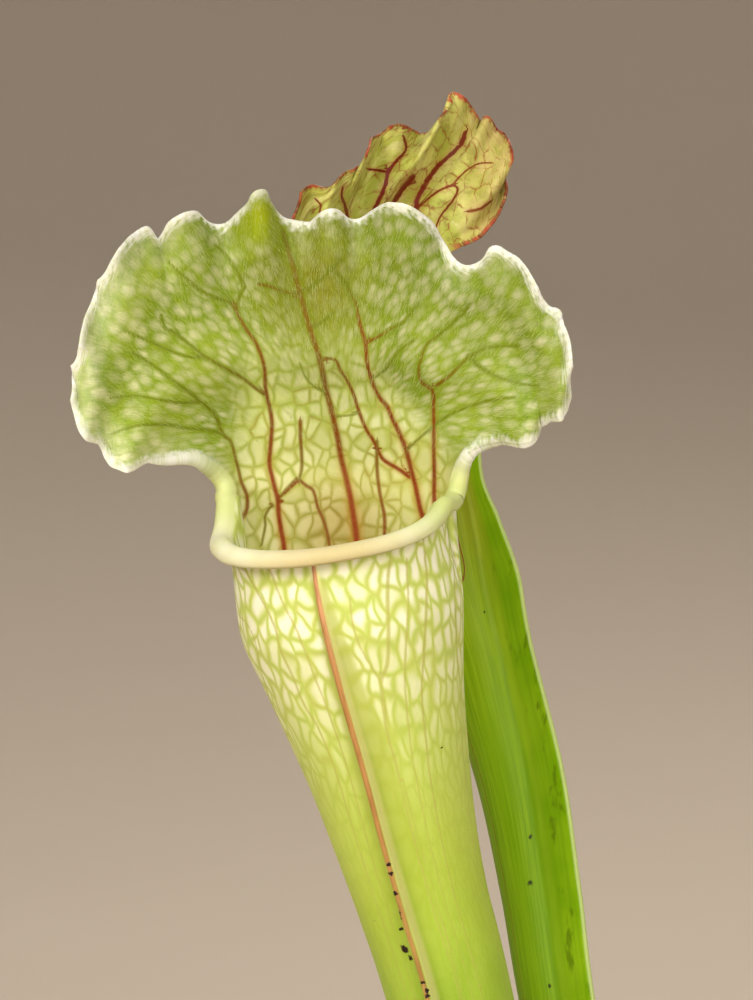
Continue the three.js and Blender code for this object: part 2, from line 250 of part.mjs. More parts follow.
// ---------------------------------------------------------------- a whole pitcher leaf as one closed body
function pitcher(spec) {
  const { front, back, top, left, right } = spec.mouth ? simpleMouth(spec.mouth) : spec;
  // columns round the leaf: front arc left to right (with the keel in its middle), then round the back
  const side = [100, 80, 62, 44, 27];
  const cols = [
    ...side.map((d) => ({ deg: -d })),
    { s: -1.0 },
    { s: -0.36, keel: 1 },
    { s: 0.36, keel: 1 },
    { s: 1.0 },
    ...side.reverse().map((d) => ({ deg: d })),
  ];
  const frontCount = cols.length;
  for (let k = 1; k < spec.backCells; k++) cols.push({ u: 1 - k / spec.backCells });
  const N = cols.length;
  const angle = (c, r) => (c.s !== undefined ? c.s / r : c.u !== undefined ? rad(-100 - 160 * c.u) : rad(c.deg));

  // tube rings
  const mid = []; // rows of points
  const keel = []; // rows of keel offsets
  const rings = [];
  for (let i = 0; i < spec.rows; i++) {
    const u = i / (spec.rows - 1);
    const [x, y, z, r, k, facing] = spline(spec.stations, u);
    const c = [x, y, z];
    const ahead = spline(spec.stations, Math.min(u + 0.01, 1)).slice(0, 3);
    const behind = spline(spec.stations, Math.max(u - 0.01, 0)).slice(0, 3);
    const a = i === 0 ? [0, 0, 1] : unit(sub(ahead, behind));
    const f0 = [Math.sin(rad(facing)), -Math.cos(rad(facing)), 0];
    const s = unit(cross(a, f0));
    const f = cross(s, a);
    rings.push({ c, a, f, r });
    const tear = 0.12 * Math.min(1, k / 3);
    mid.push(
      cols.map((col) => {
        const t = angle(col, r);
        const q = r * (1 + tear * Math.max(0, Math.cos(t)) ** 3);
        return add(add(c, f, q * Math.cos(t)), s, q * Math.sin(t));
      }),
    );
    keel.push(cols.map((col) => (col.keel ? mul(f, k) : [0, 0, 0])));
  }
  // bridge from the last ring to the mouth
  const last = rings[rings.length - 1];
  const mouthRadius = len(sub(front[10], mix(front[0], front[20], 0.5)));
  const mouth = cols.map((col) => {
    if (col.u !== undefined) return along(back, col.u);
    const f = angle(col, mouthRadius) / rad(100);
    return along(front, (f + 1) / 2 + (spec.keelShift ?? 0) * (1 - f * f));
  });
  const lastKeel = spec.stations[spec.stations.length - 1][4];
  for (let b = 1; b <= spec.bridge; b++) {
    const t = b / spec.bridge;
    mid.push(
      mouth.map((m, j) => {
        const p = mid[spec.rows - 1][j];
        const d = len(sub(m, p));
        const out = unit(sub(p, last.c));
        const m0 = mul(unit(sub(p, mid[spec.rows - 2][j])), d);
        const m1 = add(mul([0, 0, 1], d * 0.9), out, cols[j].u === undefined ? d * 0.35 : 0);
        const h = [2 * t ** 3 - 3 * t ** 2 + 1, t ** 3 - 2 * t ** 2 + t, -2 * t ** 3 + 3 * t ** 2, t ** 3 - t ** 2];
        return add(add(add(mul(p, h[0]), m0, h[1]), m, h[2]), m1, h[3]);
      }),
    );
    keel.push(cols.map((col) => (col.keel ? mul(last.f, lastKeel * (1 - t)) : [0, 0, 0])));
  }
  const mouthRow = mid.length - 1;

  // hood: a patch between the neck line and the three margins
  const step = (top.length - 1) / 128;
  const calmed = smooth(top, (spec.calm ?? 5.5) * step);
  const T = smooth(top, 5.5 * step).map((p, i) => [p[0], calmed[i][1], p[2]]);
  const fine = smooth(top, 2.2 * step);
  const L = smooth(left, 3 * ((left.length - 1) / 32));
  const R = smooth(right, 3 * ((right.length - 1) / 32));
  const patch = (u, v) => {
    const ruled = mix(along(back, u), along(T, u), v);
    const across = mix(along(L, v), along(R, v), u);
    const corner = mix(mix(back[0], back[20], u), mix(T[0], T[T.length - 1], u), v);
    return sub(add(ruled, across), corner);
  };
  const detail = (line, soft, t) => sub(along(line, t), along(soft, t));
  const hoodPoint = (u, v) => {
    let p = patch(u, v);
    const start = mul(sub(patch(u, 0.02), patch(u, 0)), 50);
    const want = add(mul(last.a, len(start) * 0.55), start, 0.25);
    const w = 1 - (2 * u - 1) ** 6;
    p = add(p, sub(want, start), v * (1 - v) ** 2 * w);
    const dT = detail(fine, T, u);
    p = add(p, [dT[0] * v ** 3.2, dT[1] * v ** 6, dT[2] * v ** 3.2]);
    p = add(p, detail(top, fine, u), v ** 9);
    p = add(p, detail(left, L, v), (1 - u) ** 9);
    p = add(p, detail(right, R, v), u ** 9);
    return p;
  };
  const hoodCols = [frontCount - 1, ...Array.from({ length: spec.backCells - 1 }, (_, k) => frontCount + k), 0];
  const hoodU = hoodCols.map((_, k) => 1 - k / spec.backCells);
  const hood = [];
  for (let i = 1; i <= spec.hoodRows; i++) {
    const v = i / spec.hoodRows;
    hood.push(hoodU.map((u) => hoodPoint(u, v)));
  }

  // vertices: the tube rows, then the hood rows
  const points = [];
  const push = (p) => points.push(p) - 1;
  const tubeId = mid.map((row) => row.map(push));
  const hoodId = [hoodCols.map((j) => tubeId[mouthRow][j]), ...hood.map((row) => row.map(push))];
  const quads = [];
  for (let i = 0; i < mouthRow; i++)
    for (let j = 0; j < N; j++) {
      const k = (j + 1) % N;
      quads.push([tubeId[i][j], tubeId[i][k], tubeId[i + 1][k], tubeId[i + 1][j], i]);
    }
  for (let i = 0; i < spec.hoodRows; i++)
    for (let k = 0; k < spec.backCells; k++)
      quads.push([hoodId[i][k], hoodId[i][k + 1], hoodId[i + 1][k + 1], hoodId[i + 1][k], mouthRow + i]);
  const normals = points.map(() => [0, 0, 0]);
  for (const [a, b, c, d] of quads) {
    const n = cross(sub(points[c], points[a]), sub(points[d], points[b]));
    for (const k of [a, b, c, d]) normals[k] = add(normals[k], n);
  }
  const normal = normals.map(unit);
  const rowOf = new Map();
  tubeId.forEach((row, i) => row.forEach((k) => rowOf.set(k, { tube: i })));
  hoodId.slice(1).forEach((row, i) => row.forEach((k) => rowOf.set(k, { hood: (i + 1) / spec.hoodRows })));

  // rim: the mouth's front arc, right margin, top margin, left margin; it rolls outwards
  const loop = [];
  for (let j = 0; j < frontCount; j++) loop.push({ id: tubeId[mouthRow][j], lip: 1 });
  for (let i = 1; i <= spec.hoodRows; i++) loop.push({ id: hoodId[i][0], lip: Math.max(0, 1 - (i / spec.hoodRows) * 2.2) });
  for (let k = 1; k <= spec.backCells; k++) loop.push({ id: hoodId[spec.hoodRows][k], lip: 0 });
  for (let i = spec.hoodRows - 1; i >= 1; i--)
    loop.push({ id: hoodId[i][spec.backCells], lip: Math.max(0, 1 - (i / spec.hoodRows) * 2.2) });
  const M = loop.length;
  const inside = new Map(); // a neighbour towards the sheet for each rim vertex
  for (const [a, b, c, d] of quads)
    for (const k of [a, b, c, d]) {
      if (!inside.has(k)) inside.set(k, []);
      inside.get(k).push(...[a, b, c, d].filter((x) => x !== k));
    }
  const curlRows = 4;
  const curl = loop.map((v, k) => {
    const p = points[v.id];
    const n = normal[v.id];
    const t = unit(sub(points[loop[(k + 1) % M].id], points[loop[(k + M - 1) % M].id]));
    let e = unit(cross(t, n));
    const near = inside.get(v.id).reduce((s, x) => add(s, sub(p, points[x])), [0, 0, 0]);
    if (dot(e, near) < 0) e = mul(e, -1);
    const turn = rad(35 + (spec.lipTurn - 35) * v.lip ** 0.8);
    const rho = v.lip > 0 ? spec.lipRadius * (0.55 + 0.45 * v.lip) : spec.lipRadius * 0.55 + 0.25;
    return Array.from({ length: curlRows }, (_, m) => {
      const b = (turn * (m + 1)) / curlRows;
      return {
        p: add(add(p, e, rho * Math.sin(b)), n, rho * (1 - Math.cos(b))),
        n: unit(add(mul(n, Math.cos(b)), e, -Math.sin(b))),
      };
    });
  });

  // two skins
  const xyz = [];
  const tris = [];
  const vert = (p) => xyz.push(p) - 1;
  const half = (id) => {
    const r = rowOf.get(id);
    if (r.tube !== undefined) return spec.wall / 2;
    return (spec.hoodWall + (spec.rimWall - spec.hoodWall) * r.hood) / 2;
  };
  const keelOf = new Map();
  tubeId.forEach((row, i) => row.forEach((k, j) => keelOf.set(k, keel[i][j])));
  const outer = points.map((p, k) => vert(add(add(p, normal[k], half(k)), keelOf.get(k) || [0, 0, 0])));
  const inner = points.map((p, k) => {
    const r = rowOf.get(k);
    return r.tube !== undefined && r.tube < spec.cavity ? -1 : vert(add(p, normal[k], -half(k)));
  });
  const quad = (a, b, c, d) => tris.push([a, b, c], [a, c, d]);
  for (const [a, b, c, d, row] of quads) {
    quad(outer[a], outer[b], outer[c], outer[d]);
    if (row >= spec.cavity) quad(inner[a], inner[d], inner[c], inner[b]);
  }
  const rimHalf = spec.rimWall / 2;
  const curlOut = curl.map((c) => c.map(({ p, n }) => vert(add(p, n, rimHalf))));
  const curlIn = curl.map((c) => c.map(({ p, n }) => vert(add(p, n, -rimHalf))));
  for (let k = 0; k < M; k++) {
    const q = (k + 1) % M;
    quad(outer[loop[k].id], outer[loop[q].id], curlOut[q][0], curlOut[k][0]);
    quad(inner[loop[k].id], curlIn[k][0], curlIn[q][0], inner[loop[q].id]);
    for (let m = 0; m < curlRows - 1; m++) {
      quad(curlOut[k][m], curlOut[q][m], curlOut[q][m + 1], curlOut[k][m + 1]);
      quad(curlIn[k][m], curlIn[k][m + 1], curlIn[q][m + 1], curlIn[q][m]);
    }
    quad(curlOut[k][curlRows - 1], curlOut[q][curlRows - 1], curlIn[q][curlRows - 1], curlIn[k][curlRows - 1]);
  }
  // closed ends
  const footCentre = vert(rings[0].c);
  const cavityCentre = vert(rings[spec.cavity].c);
  for (let j = 0; j < N; j++) {
    const k = (j + 1) % N;
    tris.push([footCentre, outer[tubeId[0][k]], outer[tubeId[0][j]]]);
    tris.push([cavityCentre, inner[tubeId[spec.cavity][j]], inner[tubeId[spec.cavity][k]]]);
  }
  return geometryOf(xyz, tris);
}

function geometryOf(xyz, tris) {
  const g = new THREE.BufferGeometry();
  g.setAttribute("position", new THREE.Float32BufferAttribute(xyz.flat(), 3));
  g.setIndex(tris.flat());
  g.computeVertexNormals();
  return g;
}

// ---------------------------------------------------------------- a flat leaf or scale: a solid loft
function blade({ turn, stations }) {
  const rows = 3 * (stations.length - 1) + 1;
  const around = 12;
  const xyz = [];
  const tris = [];
  const s = [Math.cos(rad(turn)), Math.sin(rad(turn)), 0];
  for (let i = 0; i < rows; i++) {
    const u = i / (rows - 1);
    const [x, y, z, w, h] = spline(stations, u);
    const ahead = spline(stations, Math.min(u + 0.01, 1)).slice(0, 3);
    const behind = spline(stations, Math.max(u - 0.01, 0)).slice(0, 3);
    const a = i === 0 ? [0, 0, 1] : unit(sub(ahead, behind));
    const across = unit(sub(s, mul(a, dot(a, s))));
    const depth = cross(a, across);
    for (let j = 0; j < around; j++) {
      const t = (2 * Math.PI * j) / around;
      const bow = 0.25 * w * Math.cos(t) ** 2; // shallow trough
      xyz.push(add(add([x, y, z], across, w * Math.cos(t)), depth, h * Math.sin(t) + bow * Math.min(1, 3 * u)));
    }
  }
  for (let i = 0; i < rows - 1; i++)
    for (let j = 0; j < around; j++) {
      const k = (j + 1) % around;
      const [a, b, c, d] = [i * around + j, i * around + k, (i + 1) * around + k, (i + 1) * around + j];
      tris.push([a, b, c], [a, c, d]);
    }
  const foot = xyz.push(stations[0].slice(0, 3)) - 1;
  const end = stations[stations.length - 1];
  const tip = xyz.push(add([end[0], end[1], end[2]], [0, 0, 1], 0.6)) - 1;
  for (let j = 0; j < around; j++) {
    const k = (j + 1) % around;
    tris.push([foot, k, j], [tip, (rows - 1) * around + j, (rows - 1) * around + k]);
  }
  return geometryOf(xyz, tris);
}

// ---------------------------------------------------------------- solids
const wasm = await Module();
wasm.setup();
function solid(geometry) {
  const g = geometry.clone();
  g.deleteAttribute("normal");
  g.deleteAttribute("uv");
  const m = mergeVertices(g, 1e-3);
  const triVerts = [];
  for (let i = 0; i < m.index.count; i += 3) {
    const [a, b, c] = [m.index.getX(i), m.index.getX(i + 1), m.index.getX(i + 2)];
    if (a !== b && b !== c && c !== a) triVerts.push(a, b, c);
  }
  return new wasm.Manifold(
    new wasm.Mesh({ numProp: 3, vertProperties: Float32Array.from(m.getAttribute("position").array), triVerts: Uint32Array.from(triVerts) }),
  );
}
// An upright cylinder or cone frustum standing on (x, y, z)
function stud(x, y, z, height, low, high, sides) {
  return solid(new THREE.CylinderGeometry(high, low, height, sides).rotateX(Math.PI / 2).translate(x, y, z + height / 2));
}
function geometryFrom(manifold) {
  const m = manifold.getMesh();
  const xyz = [];
  for (let i = 0; i < m.numVert; i++) xyz.push([...m.vertProperties.subarray(i * m.numProp, i * m.numProp + 3)]);
  const tris = [];
  for (let i = 0; i < m.triVerts.length; i += 3) tris.push([...m.triVerts.subarray(i, i + 3)]);
  return geometryOf(xyz, tris);
}
// A profile of [radius, z] from axis to axis, turned about Z
function turned(profile, around = 48) {
  return new THREE.LatheGeometry(profile.map(([r, z]) => new THREE.Vector2(r, z)), around).rotateX(Math.PI / 2);
}

function pot() {
  const { height: h, topRadius: r, wallTopRadius: w, baseRadius: b, wall: t, bandHeight: band, footHeight: foot } = POT;
  const profile = [
    [0, 0],
    [b - 1.2, 0],
    [b - 0.2, 0.7],
    [b + 0.1, foot],
    [w - 1.1, h - band - 1.2],
    [r - 0.6, h - band],
    [r - 0.1, h - band + 0.7],
    [r, h - 1.6],
    [r - 0.5, h - 0.4],
    [r - 1.3, h],
    [r - 2.2, h - 0.3],
    [r - 2.7, h - 1.2],
    [w - t - 1.0, h - band - 1.6],
    [b - t + 0.4, foot + 1.2],
    [b - t - 1.0, 2],
    [0, 2],
  ];
  let body = solid(turned(profile));
  for (let k = 0; k < POT.holes; k++) {
    const t = (2 * Math.PI * k) / POT.holes;
    const [x, y] = [POT.holeCentreRadius * Math.cos(t), POT.holeCentreRadius * Math.sin(t)];
    body = body.subtract(stud(x, y, -3, 8, POT.holeRadius, POT.holeRadius, 16));
  }
  return body;
}

// gentle unevenness used on the mix and the rhizome
const bump = (x, y) => 0.9 * Math.sin(x * 0.21 + 1.3) * Math.cos(y * 0.17 - 0.4) + 0.5 * Math.sin(x * 0.47 - y * 0.39 + 2) + 0.3 * Math.cos(y * 0.83 + x * 0.6);

function pottingMix() {
  const inside = (z) => {
    // inner radius of the pot's wall at height z, less the clearance
    const { wallTopRadius: w, baseRadius: b, wall: t, footHeight: foot, height: h, bandHeight: band } = POT;
    const k = (z - foot - 1.2) / (h - band - 1.6 - foot - 1.2);
    return b - t + 0.4 + k * (w - t - 1.0 - (b - t + 0.4)) - GAP;
  };
  const rings = [0, 0.16, 0.32, 0.48, 0.64, 0.8, 0.92, 1];
  const around = 40;
  const xyz = [];
  const tris = [];
  const edge = inside(POT.height - POT.bandHeight - 1.6);
  const topId = rings.map((k) =>
    Array.from({ length: k === 0 ? 1 : around }, (_, j) => {
      const t = (2 * Math.PI * j) / around;
      const x = k * edge * Math.cos(t);
      const y = k * edge * Math.sin(t);
      const z = k === 1 ? POT.height - POT.bandHeight - 1.6 : SOIL.top - 1.2 + SOIL.mound * (1 - k * k) + bump(x, y) * (1 - k ** 4) * 0.8;
      return xyz.push([x, y, z]) - 1;
    }),
  );
  const low = [inside(POT.footHeight + 1.4), POT.footHeight + 1.4];
  const under = Array.from({ length: around }, (_, j) => {
    const t = (2 * Math.PI * j) / around;
    return xyz.push([low[0] * Math.cos(t), low[0] * Math.sin(t), low[1]]) - 1;
  });
  const floor = Array.from({ length: around }, (_, j) => {
    const t = (2 * Math.PI * j) / around;
    return xyz.push([(low[0] - 1.6) * Math.cos(t), (low[0] - 1.6) * Math.sin(t), 2 + GAP]) - 1;
  });
  const centre = xyz.push([0, 0, 2 + GAP]) - 1;
  for (let j = 0; j < around; j++) {
    const k = (j + 1) % around;
    tris.push([centre, floor[k], floor[j]]);
    tris.push([floor[j], floor[k], under[k]], [floor[j], under[k], under[j]]);
    const e = topId[rings.length - 1];
    tris.push([under[j], under[k], e[k]], [under[j], e[k], e[j]]);
    for (let i = 1; i < rings.length - 1; i++) tris.push([topId[i + 1][j], topId[i + 1][k], topId[i][k]], [topId[i + 1][j], topId[i][k], topId[i][j]]);
    tris.push([topId[1][j], topId[1][k], topId[0][0]]);
  }
  return solid(geometryOf(xyz, tris));
}

function lump(grow) {
  const [a, b, c] = RHIZOME.half;
  const k = Math.cos(rad(RHIZOME.turn));
  const s = Math.sin(rad(RHIZOME.turn));
  const g = new THREE.SphereGeometry(1, 28, 16).rotateX(Math.PI / 2);
  const p = g.getAttribute("position");
  for (let i = 0; i < p.count; i++) {
    const [X, Y, Z] = [p.getX(i), p.getY(i), p.getZ(i)];
    // blunt ellipsoid with rings of old leaf scars
    const scar = 1 + 0.05 * Math.sin(X * 16) * (1 - X * X);
    const x = X * (a + grow);
    const y = Y * (b * scar + grow);
    const z = Math.sign(Z) * Math.abs(Z) ** 0.8 * (c * scar + grow);
    p.setXYZ(i, RHIZOME.centre[0] + x * k - y * s, RHIZOME.centre[1] + x * s + y * k, RHIZOME.centre[2] + z);
  }
  return solid(g);
}

function rhizome() {
  let body = lump(0);
  const bases = [FRONT, REAR, YOUNG].map((p) => [...p.stations[0].slice(0, 3), p.stations[0][3] + p.wall / 2 + p.stations[0][4] + 0.4]);
  for (const p of Object.values(BLADES)) bases.push([...p.stations[0].slice(0, 3), p.stations[0][3] + 0.5]);
  for (const [x, y, z, r] of bases) body = body.subtract(stud(x, y, z - GAP, 12, r, r + 1.2, 18));
  return body;
}

// ---------------------------------------------------------------- the group
const part = new THREE.Group();
part.name = "potted_pitcher_plant";
function node(name, geometry, colour, roughness, at = [0, 0, 0]) {
  const g = geometry.isBufferGeometry ? geometry : geometryFrom(geometry);
  g.translate(-at[0], -at[1], -at[2]);
  const mesh = new THREE.Mesh(g, new THREE.MeshStandardMaterial({ color: colour, roughness, metalness: 0 }));
  mesh.name = name;
  mesh.position.set(...at); // each leaf's own frame stands at its foot
  part.add(mesh);
}
node("pot", pot(), 0x3a3d3c, 0.6);
node("potting_mix", pottingMix().subtract(lump(GAP)), 0x3b2a1d, 0.95);
node("rhizome", rhizome(), 0x6b4a2c, 0.8);
node("pitcher_front", pitcher(FRONT), 0xb9cc62, 0.45, FRONT.stations[0].slice(0, 3));
node("pitcher_rear", pitcher(REAR), 0x8aa63a, 0.45, REAR.stations[0].slice(0, 3));
node("pitcher_young", pitcher(YOUNG), 0xa3bd4c, 0.45, YOUNG.stations[0].slice(0, 3));
const BLADE_COLOURS = { phyllode_left: 0x6f9a2c, phyllode_right: 0x7aa032, old_leaf_base_left: 0x7a5a36, old_leaf_base_back: 0x6a4b2d, bract_front: 0xa8553a };
for (const [name, spec] of Object.entries(BLADES)) node(name, blade(spec), BLADE_COLOURS[name], 0.6, spec.stations[0].slice(0, 3));

export default part;
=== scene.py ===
import bpy
import math
import numpy as np
from mathutils import Matrix, Vector


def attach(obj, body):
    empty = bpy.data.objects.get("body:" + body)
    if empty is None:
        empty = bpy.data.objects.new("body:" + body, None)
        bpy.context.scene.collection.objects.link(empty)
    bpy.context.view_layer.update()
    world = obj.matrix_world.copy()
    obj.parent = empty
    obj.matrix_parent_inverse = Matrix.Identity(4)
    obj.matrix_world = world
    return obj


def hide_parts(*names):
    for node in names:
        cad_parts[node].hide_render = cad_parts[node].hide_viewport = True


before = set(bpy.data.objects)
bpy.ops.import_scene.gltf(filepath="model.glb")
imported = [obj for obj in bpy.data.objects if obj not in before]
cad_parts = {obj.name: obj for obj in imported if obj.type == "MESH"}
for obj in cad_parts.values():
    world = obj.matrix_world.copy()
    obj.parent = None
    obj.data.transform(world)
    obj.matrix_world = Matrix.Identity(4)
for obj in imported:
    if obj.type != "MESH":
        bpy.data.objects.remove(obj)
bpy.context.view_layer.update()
rng = np.random.default_rng(11)
MM = 0.001

# ------------------------------------------------------------------ camera
AIM = np.array([-31.62, -6.0, 236.6])  # middle of the picture, on the front hood's plane
DISTANCE, ELEVATION, MM_PER_PX = 450.0, math.radians(4.0), 0.12
EYE = AIM + DISTANCE * np.array([0, -math.cos(ELEVATION), math.sin(ELEVATION)])
FWD = np.array([0, math.cos(ELEVATION), -math.sin(ELEVATION)])
UPV = np.array([0, math.sin(ELEVATION), math.cos(ELEVATION)])


def px(p):
    """Where points in millimetres fall in the 753 x 1000 picture."""
    d = np.asarray(p, float) - EYE
    w = d @ FWD
    return np.stack([376.5 + d[..., 0] / w * DISTANCE / MM_PER_PX, 500 - (d @ UPV) / w * DISTANCE / MM_PER_PX], -1)


cam_data = bpy.data.cameras.new("camera")
cam = bpy.data.objects.new("camera", cam_data)
bpy.context.scene.collection.objects.link(cam)
cam_data.sensor_width = 36
cam_data.lens = 36 * DISTANCE / (1000 * MM_PER_PX)
cam_data.clip_start, cam_data.clip_end = 0.01, 50
cam.location = Vector(EYE * MM)
cam.rotation_mode = "QUATERNION"
cam.rotation_quaternion = Vector(FWD).to_track_quat("-Z", "Y")
bpy.context.scene.camera = cam


# ------------------------------------------------------------------ curves
def spline(points, u):
    """Catmull-Rom through rows of points, at shares u of the index range."""
    p = np.asarray(points, float)
    n = len(p) - 1
    x = np.clip(np.asarray(u, float), 0, 1) * n
    i = np.minimum(x.astype(int), n - 1)
    t = (x - i)[..., None]
    a, b, c, d = p[np.maximum(i - 1, 0)], p[i], p[i + 1], p[np.minimum(i + 2, n)]
    return 0.5 * (2 * b + (c - a) * t + (2 * a - 5 * b + 4 * c - d) * t**2 + (3 * b - a - 3 * c + d) * t**3)


def soften(line, sigma):
    """Gaussian smoothing that keeps both ends in place."""
    line = np.asarray(line, float)
    n = len(line)
    k = np.arange(n)
    out = line.copy()
    for i in range(n):
        s = min(sigma, min(i, n - 1 - i) / 2.2)
        if s >= 0.3:
            w = np.exp(-0.5 * ((k - i) / s) ** 2)
            out[i] = w @ line / w.sum()
    return out


def unit(v):
    return v / np.maximum(np.linalg.norm(v, axis=-1, keepdims=True), 1e-12)


def ramp(x, x0, x1):
    t = np.clip((np.asarray(x, float) - x0) / (x1 - x0), 0, 1)
    return t * t * (3 - 2 * t)


def simple_mouth(centre, radius, facing, half_width, height, lobe, n=65):
    f = np.array([math.sin(math.radians(facing)), -math.cos(math.radians(facing)), 0])
    s = np.array([math.cos(math.radians(facing)), math.sin(math.radians(facing)), 0])
    up = np.array([0, 0, 1.0])
    at = lambda w, b, h: np.array(centre) + s * w - f * b + up * h
    rd = math.radians
    ring = lambda d, h: at(radius * math.sin(rd(d)), -radius * math.cos(rd(d)), h)
    lip = lambda d: 2.4 * (1 - math.cos(rd(d)))
    front = np.array([ring(-100 + 10 * k, lip(-100 + 10 * k)) for k in range(21)])
    back = np.array([ring(-100 - 8 * k, lip(100)) for k in range(21)])
    top = []
    for k in range(n):
        u = k / (n - 1)
        sn = max(math.sin(math.pi * u), 0.0)
        wave = math.sin(u * math.pi * 14 + 0.5) * sn**0.4
        top.append(at(-(half_width + 0.4 * wave) * math.cos(math.pi * u), radius * (-0.35 + 0.85 * sn) + 0.9 * wave, lobe + (height - lobe + 0.5 * wave) * sn**0.75))
    top = np.array(top)

    def side(a, b, sign):
        v = np.linspace(0, 1, 17)[:, None]
        return a + (b - a) * v + s * (sign * -1.2) * np.sin(math.pi * v) + up * 0.8 * np.sin(math.pi * v)

    return front, back, top, side(front[0], top[0], -1), side(front[20], top[-1], 1)


# ------------------------------------------------------------------ meshes
def make_mesh(name, verts, faces, attrs=None, smooth=True):
    """A mesh object from millimetre vertices, faces as a list of index arrays, and point attributes."""
    me = bpy.data.meshes.new(name)
    verts = np.asarray(verts, float) * MM
    loops = np.concatenate([f.reshape(-1) for f in faces]).astype(np.int32)
    sizes = np.concatenate([np.full(len(f), f.shape[1]) for f in faces]).astype(np.int32)
    starts = np.concatenate([[0], np.cumsum(sizes)[:-1]]).astype(np.int32)
    me.vertices.add(len(verts))
    me.vertices.foreach_set("co", verts.astype(np.float32).reshape(-1))
    me.loops.add(len(loops))
    me.loops.foreach_set("vertex_index", loops)
    me.polygons.add(len(sizes))
    me.polygons.foreach_set("loop_start", starts)
    me.polygons.foreach_set("loop_total", sizes)
    me.polygons.foreach_set("use_smooth", np.full(len(sizes), smooth))
    me.update(calc_edges=True)
    me.validate()
    for k, v in (attrs or {}).items():
        v = np.asarray(v, np.float32)
        if v.ndim == 1:
            me.attributes.new(k, "FLOAT", "POINT").data.foreach_set("value", v)
        else:
            me.attributes.new(k, "FLOAT_VECTOR", "POINT").data.foreach_set("vector", v.reshape(-1))
    ob = bpy.data.objects.new(name, me)
    bpy.context.scene.collection.objects.link(ob)
    return ob


def nearest_line(pts, lines, width):
    """For 2-D points: signed and unsigned distance to the nearest polyline, over its half width there, and its tint.
    lines: list of (points (n,2), half width at each point, tint at each point)."""
    best = np.full(len(pts), 1e9)
    sign = np.ones(len(pts))
    tint = np.zeros(len(pts))
    for p, w, c in lines:
        for i in range(len(p) - 1):
            a, b = p[i], p[i + 1]
            d = b - a
            L = d @ d
            if L < 1e-9:
                continue
            near = (np.abs(pts - (a + b) / 2) < math.sqrt(L) / 2 + width).all(1)
            if not near.any():
                continue
            q = pts[near]
            t = np.clip(((q - a) @ d) / L, 0, 1)
            r = q - (a + t[:, None] * d)
            dist = np.hypot(r[:, 0], r[:, 1]) / (w[i] + (w[i + 1] - w[i]) * t)
            sgn = np.sign(d[0] * r[:, 1] - d[1] * r[:, 0])
            idx = np.flatnonzero(near)
            better = dist < best[idx]
            best[idx[better]] = dist[better]
            sign[idx[better]] = np.where(sgn[better] == 0, 1, sgn[better])
            tint[idx[better]] = (c[i] + (c[i + 1] - c[i]) * t)[better]
    best = np.minimum(best, 40)
    return best * sign, best, tint


KEEL_ROOT = np.array([1.5, 1.2, 0.92, 0.66, 0.45, 0.28, 0.13])
KEEL_SIDE = np.array([1.5, 1.12, 0.78, 0.55, 0.43, 0.36, 0.2])
KEEL_RISE = np.array([0.0, 0.03, 0.1, 0.28, 0.58, 0.9, 0.99])


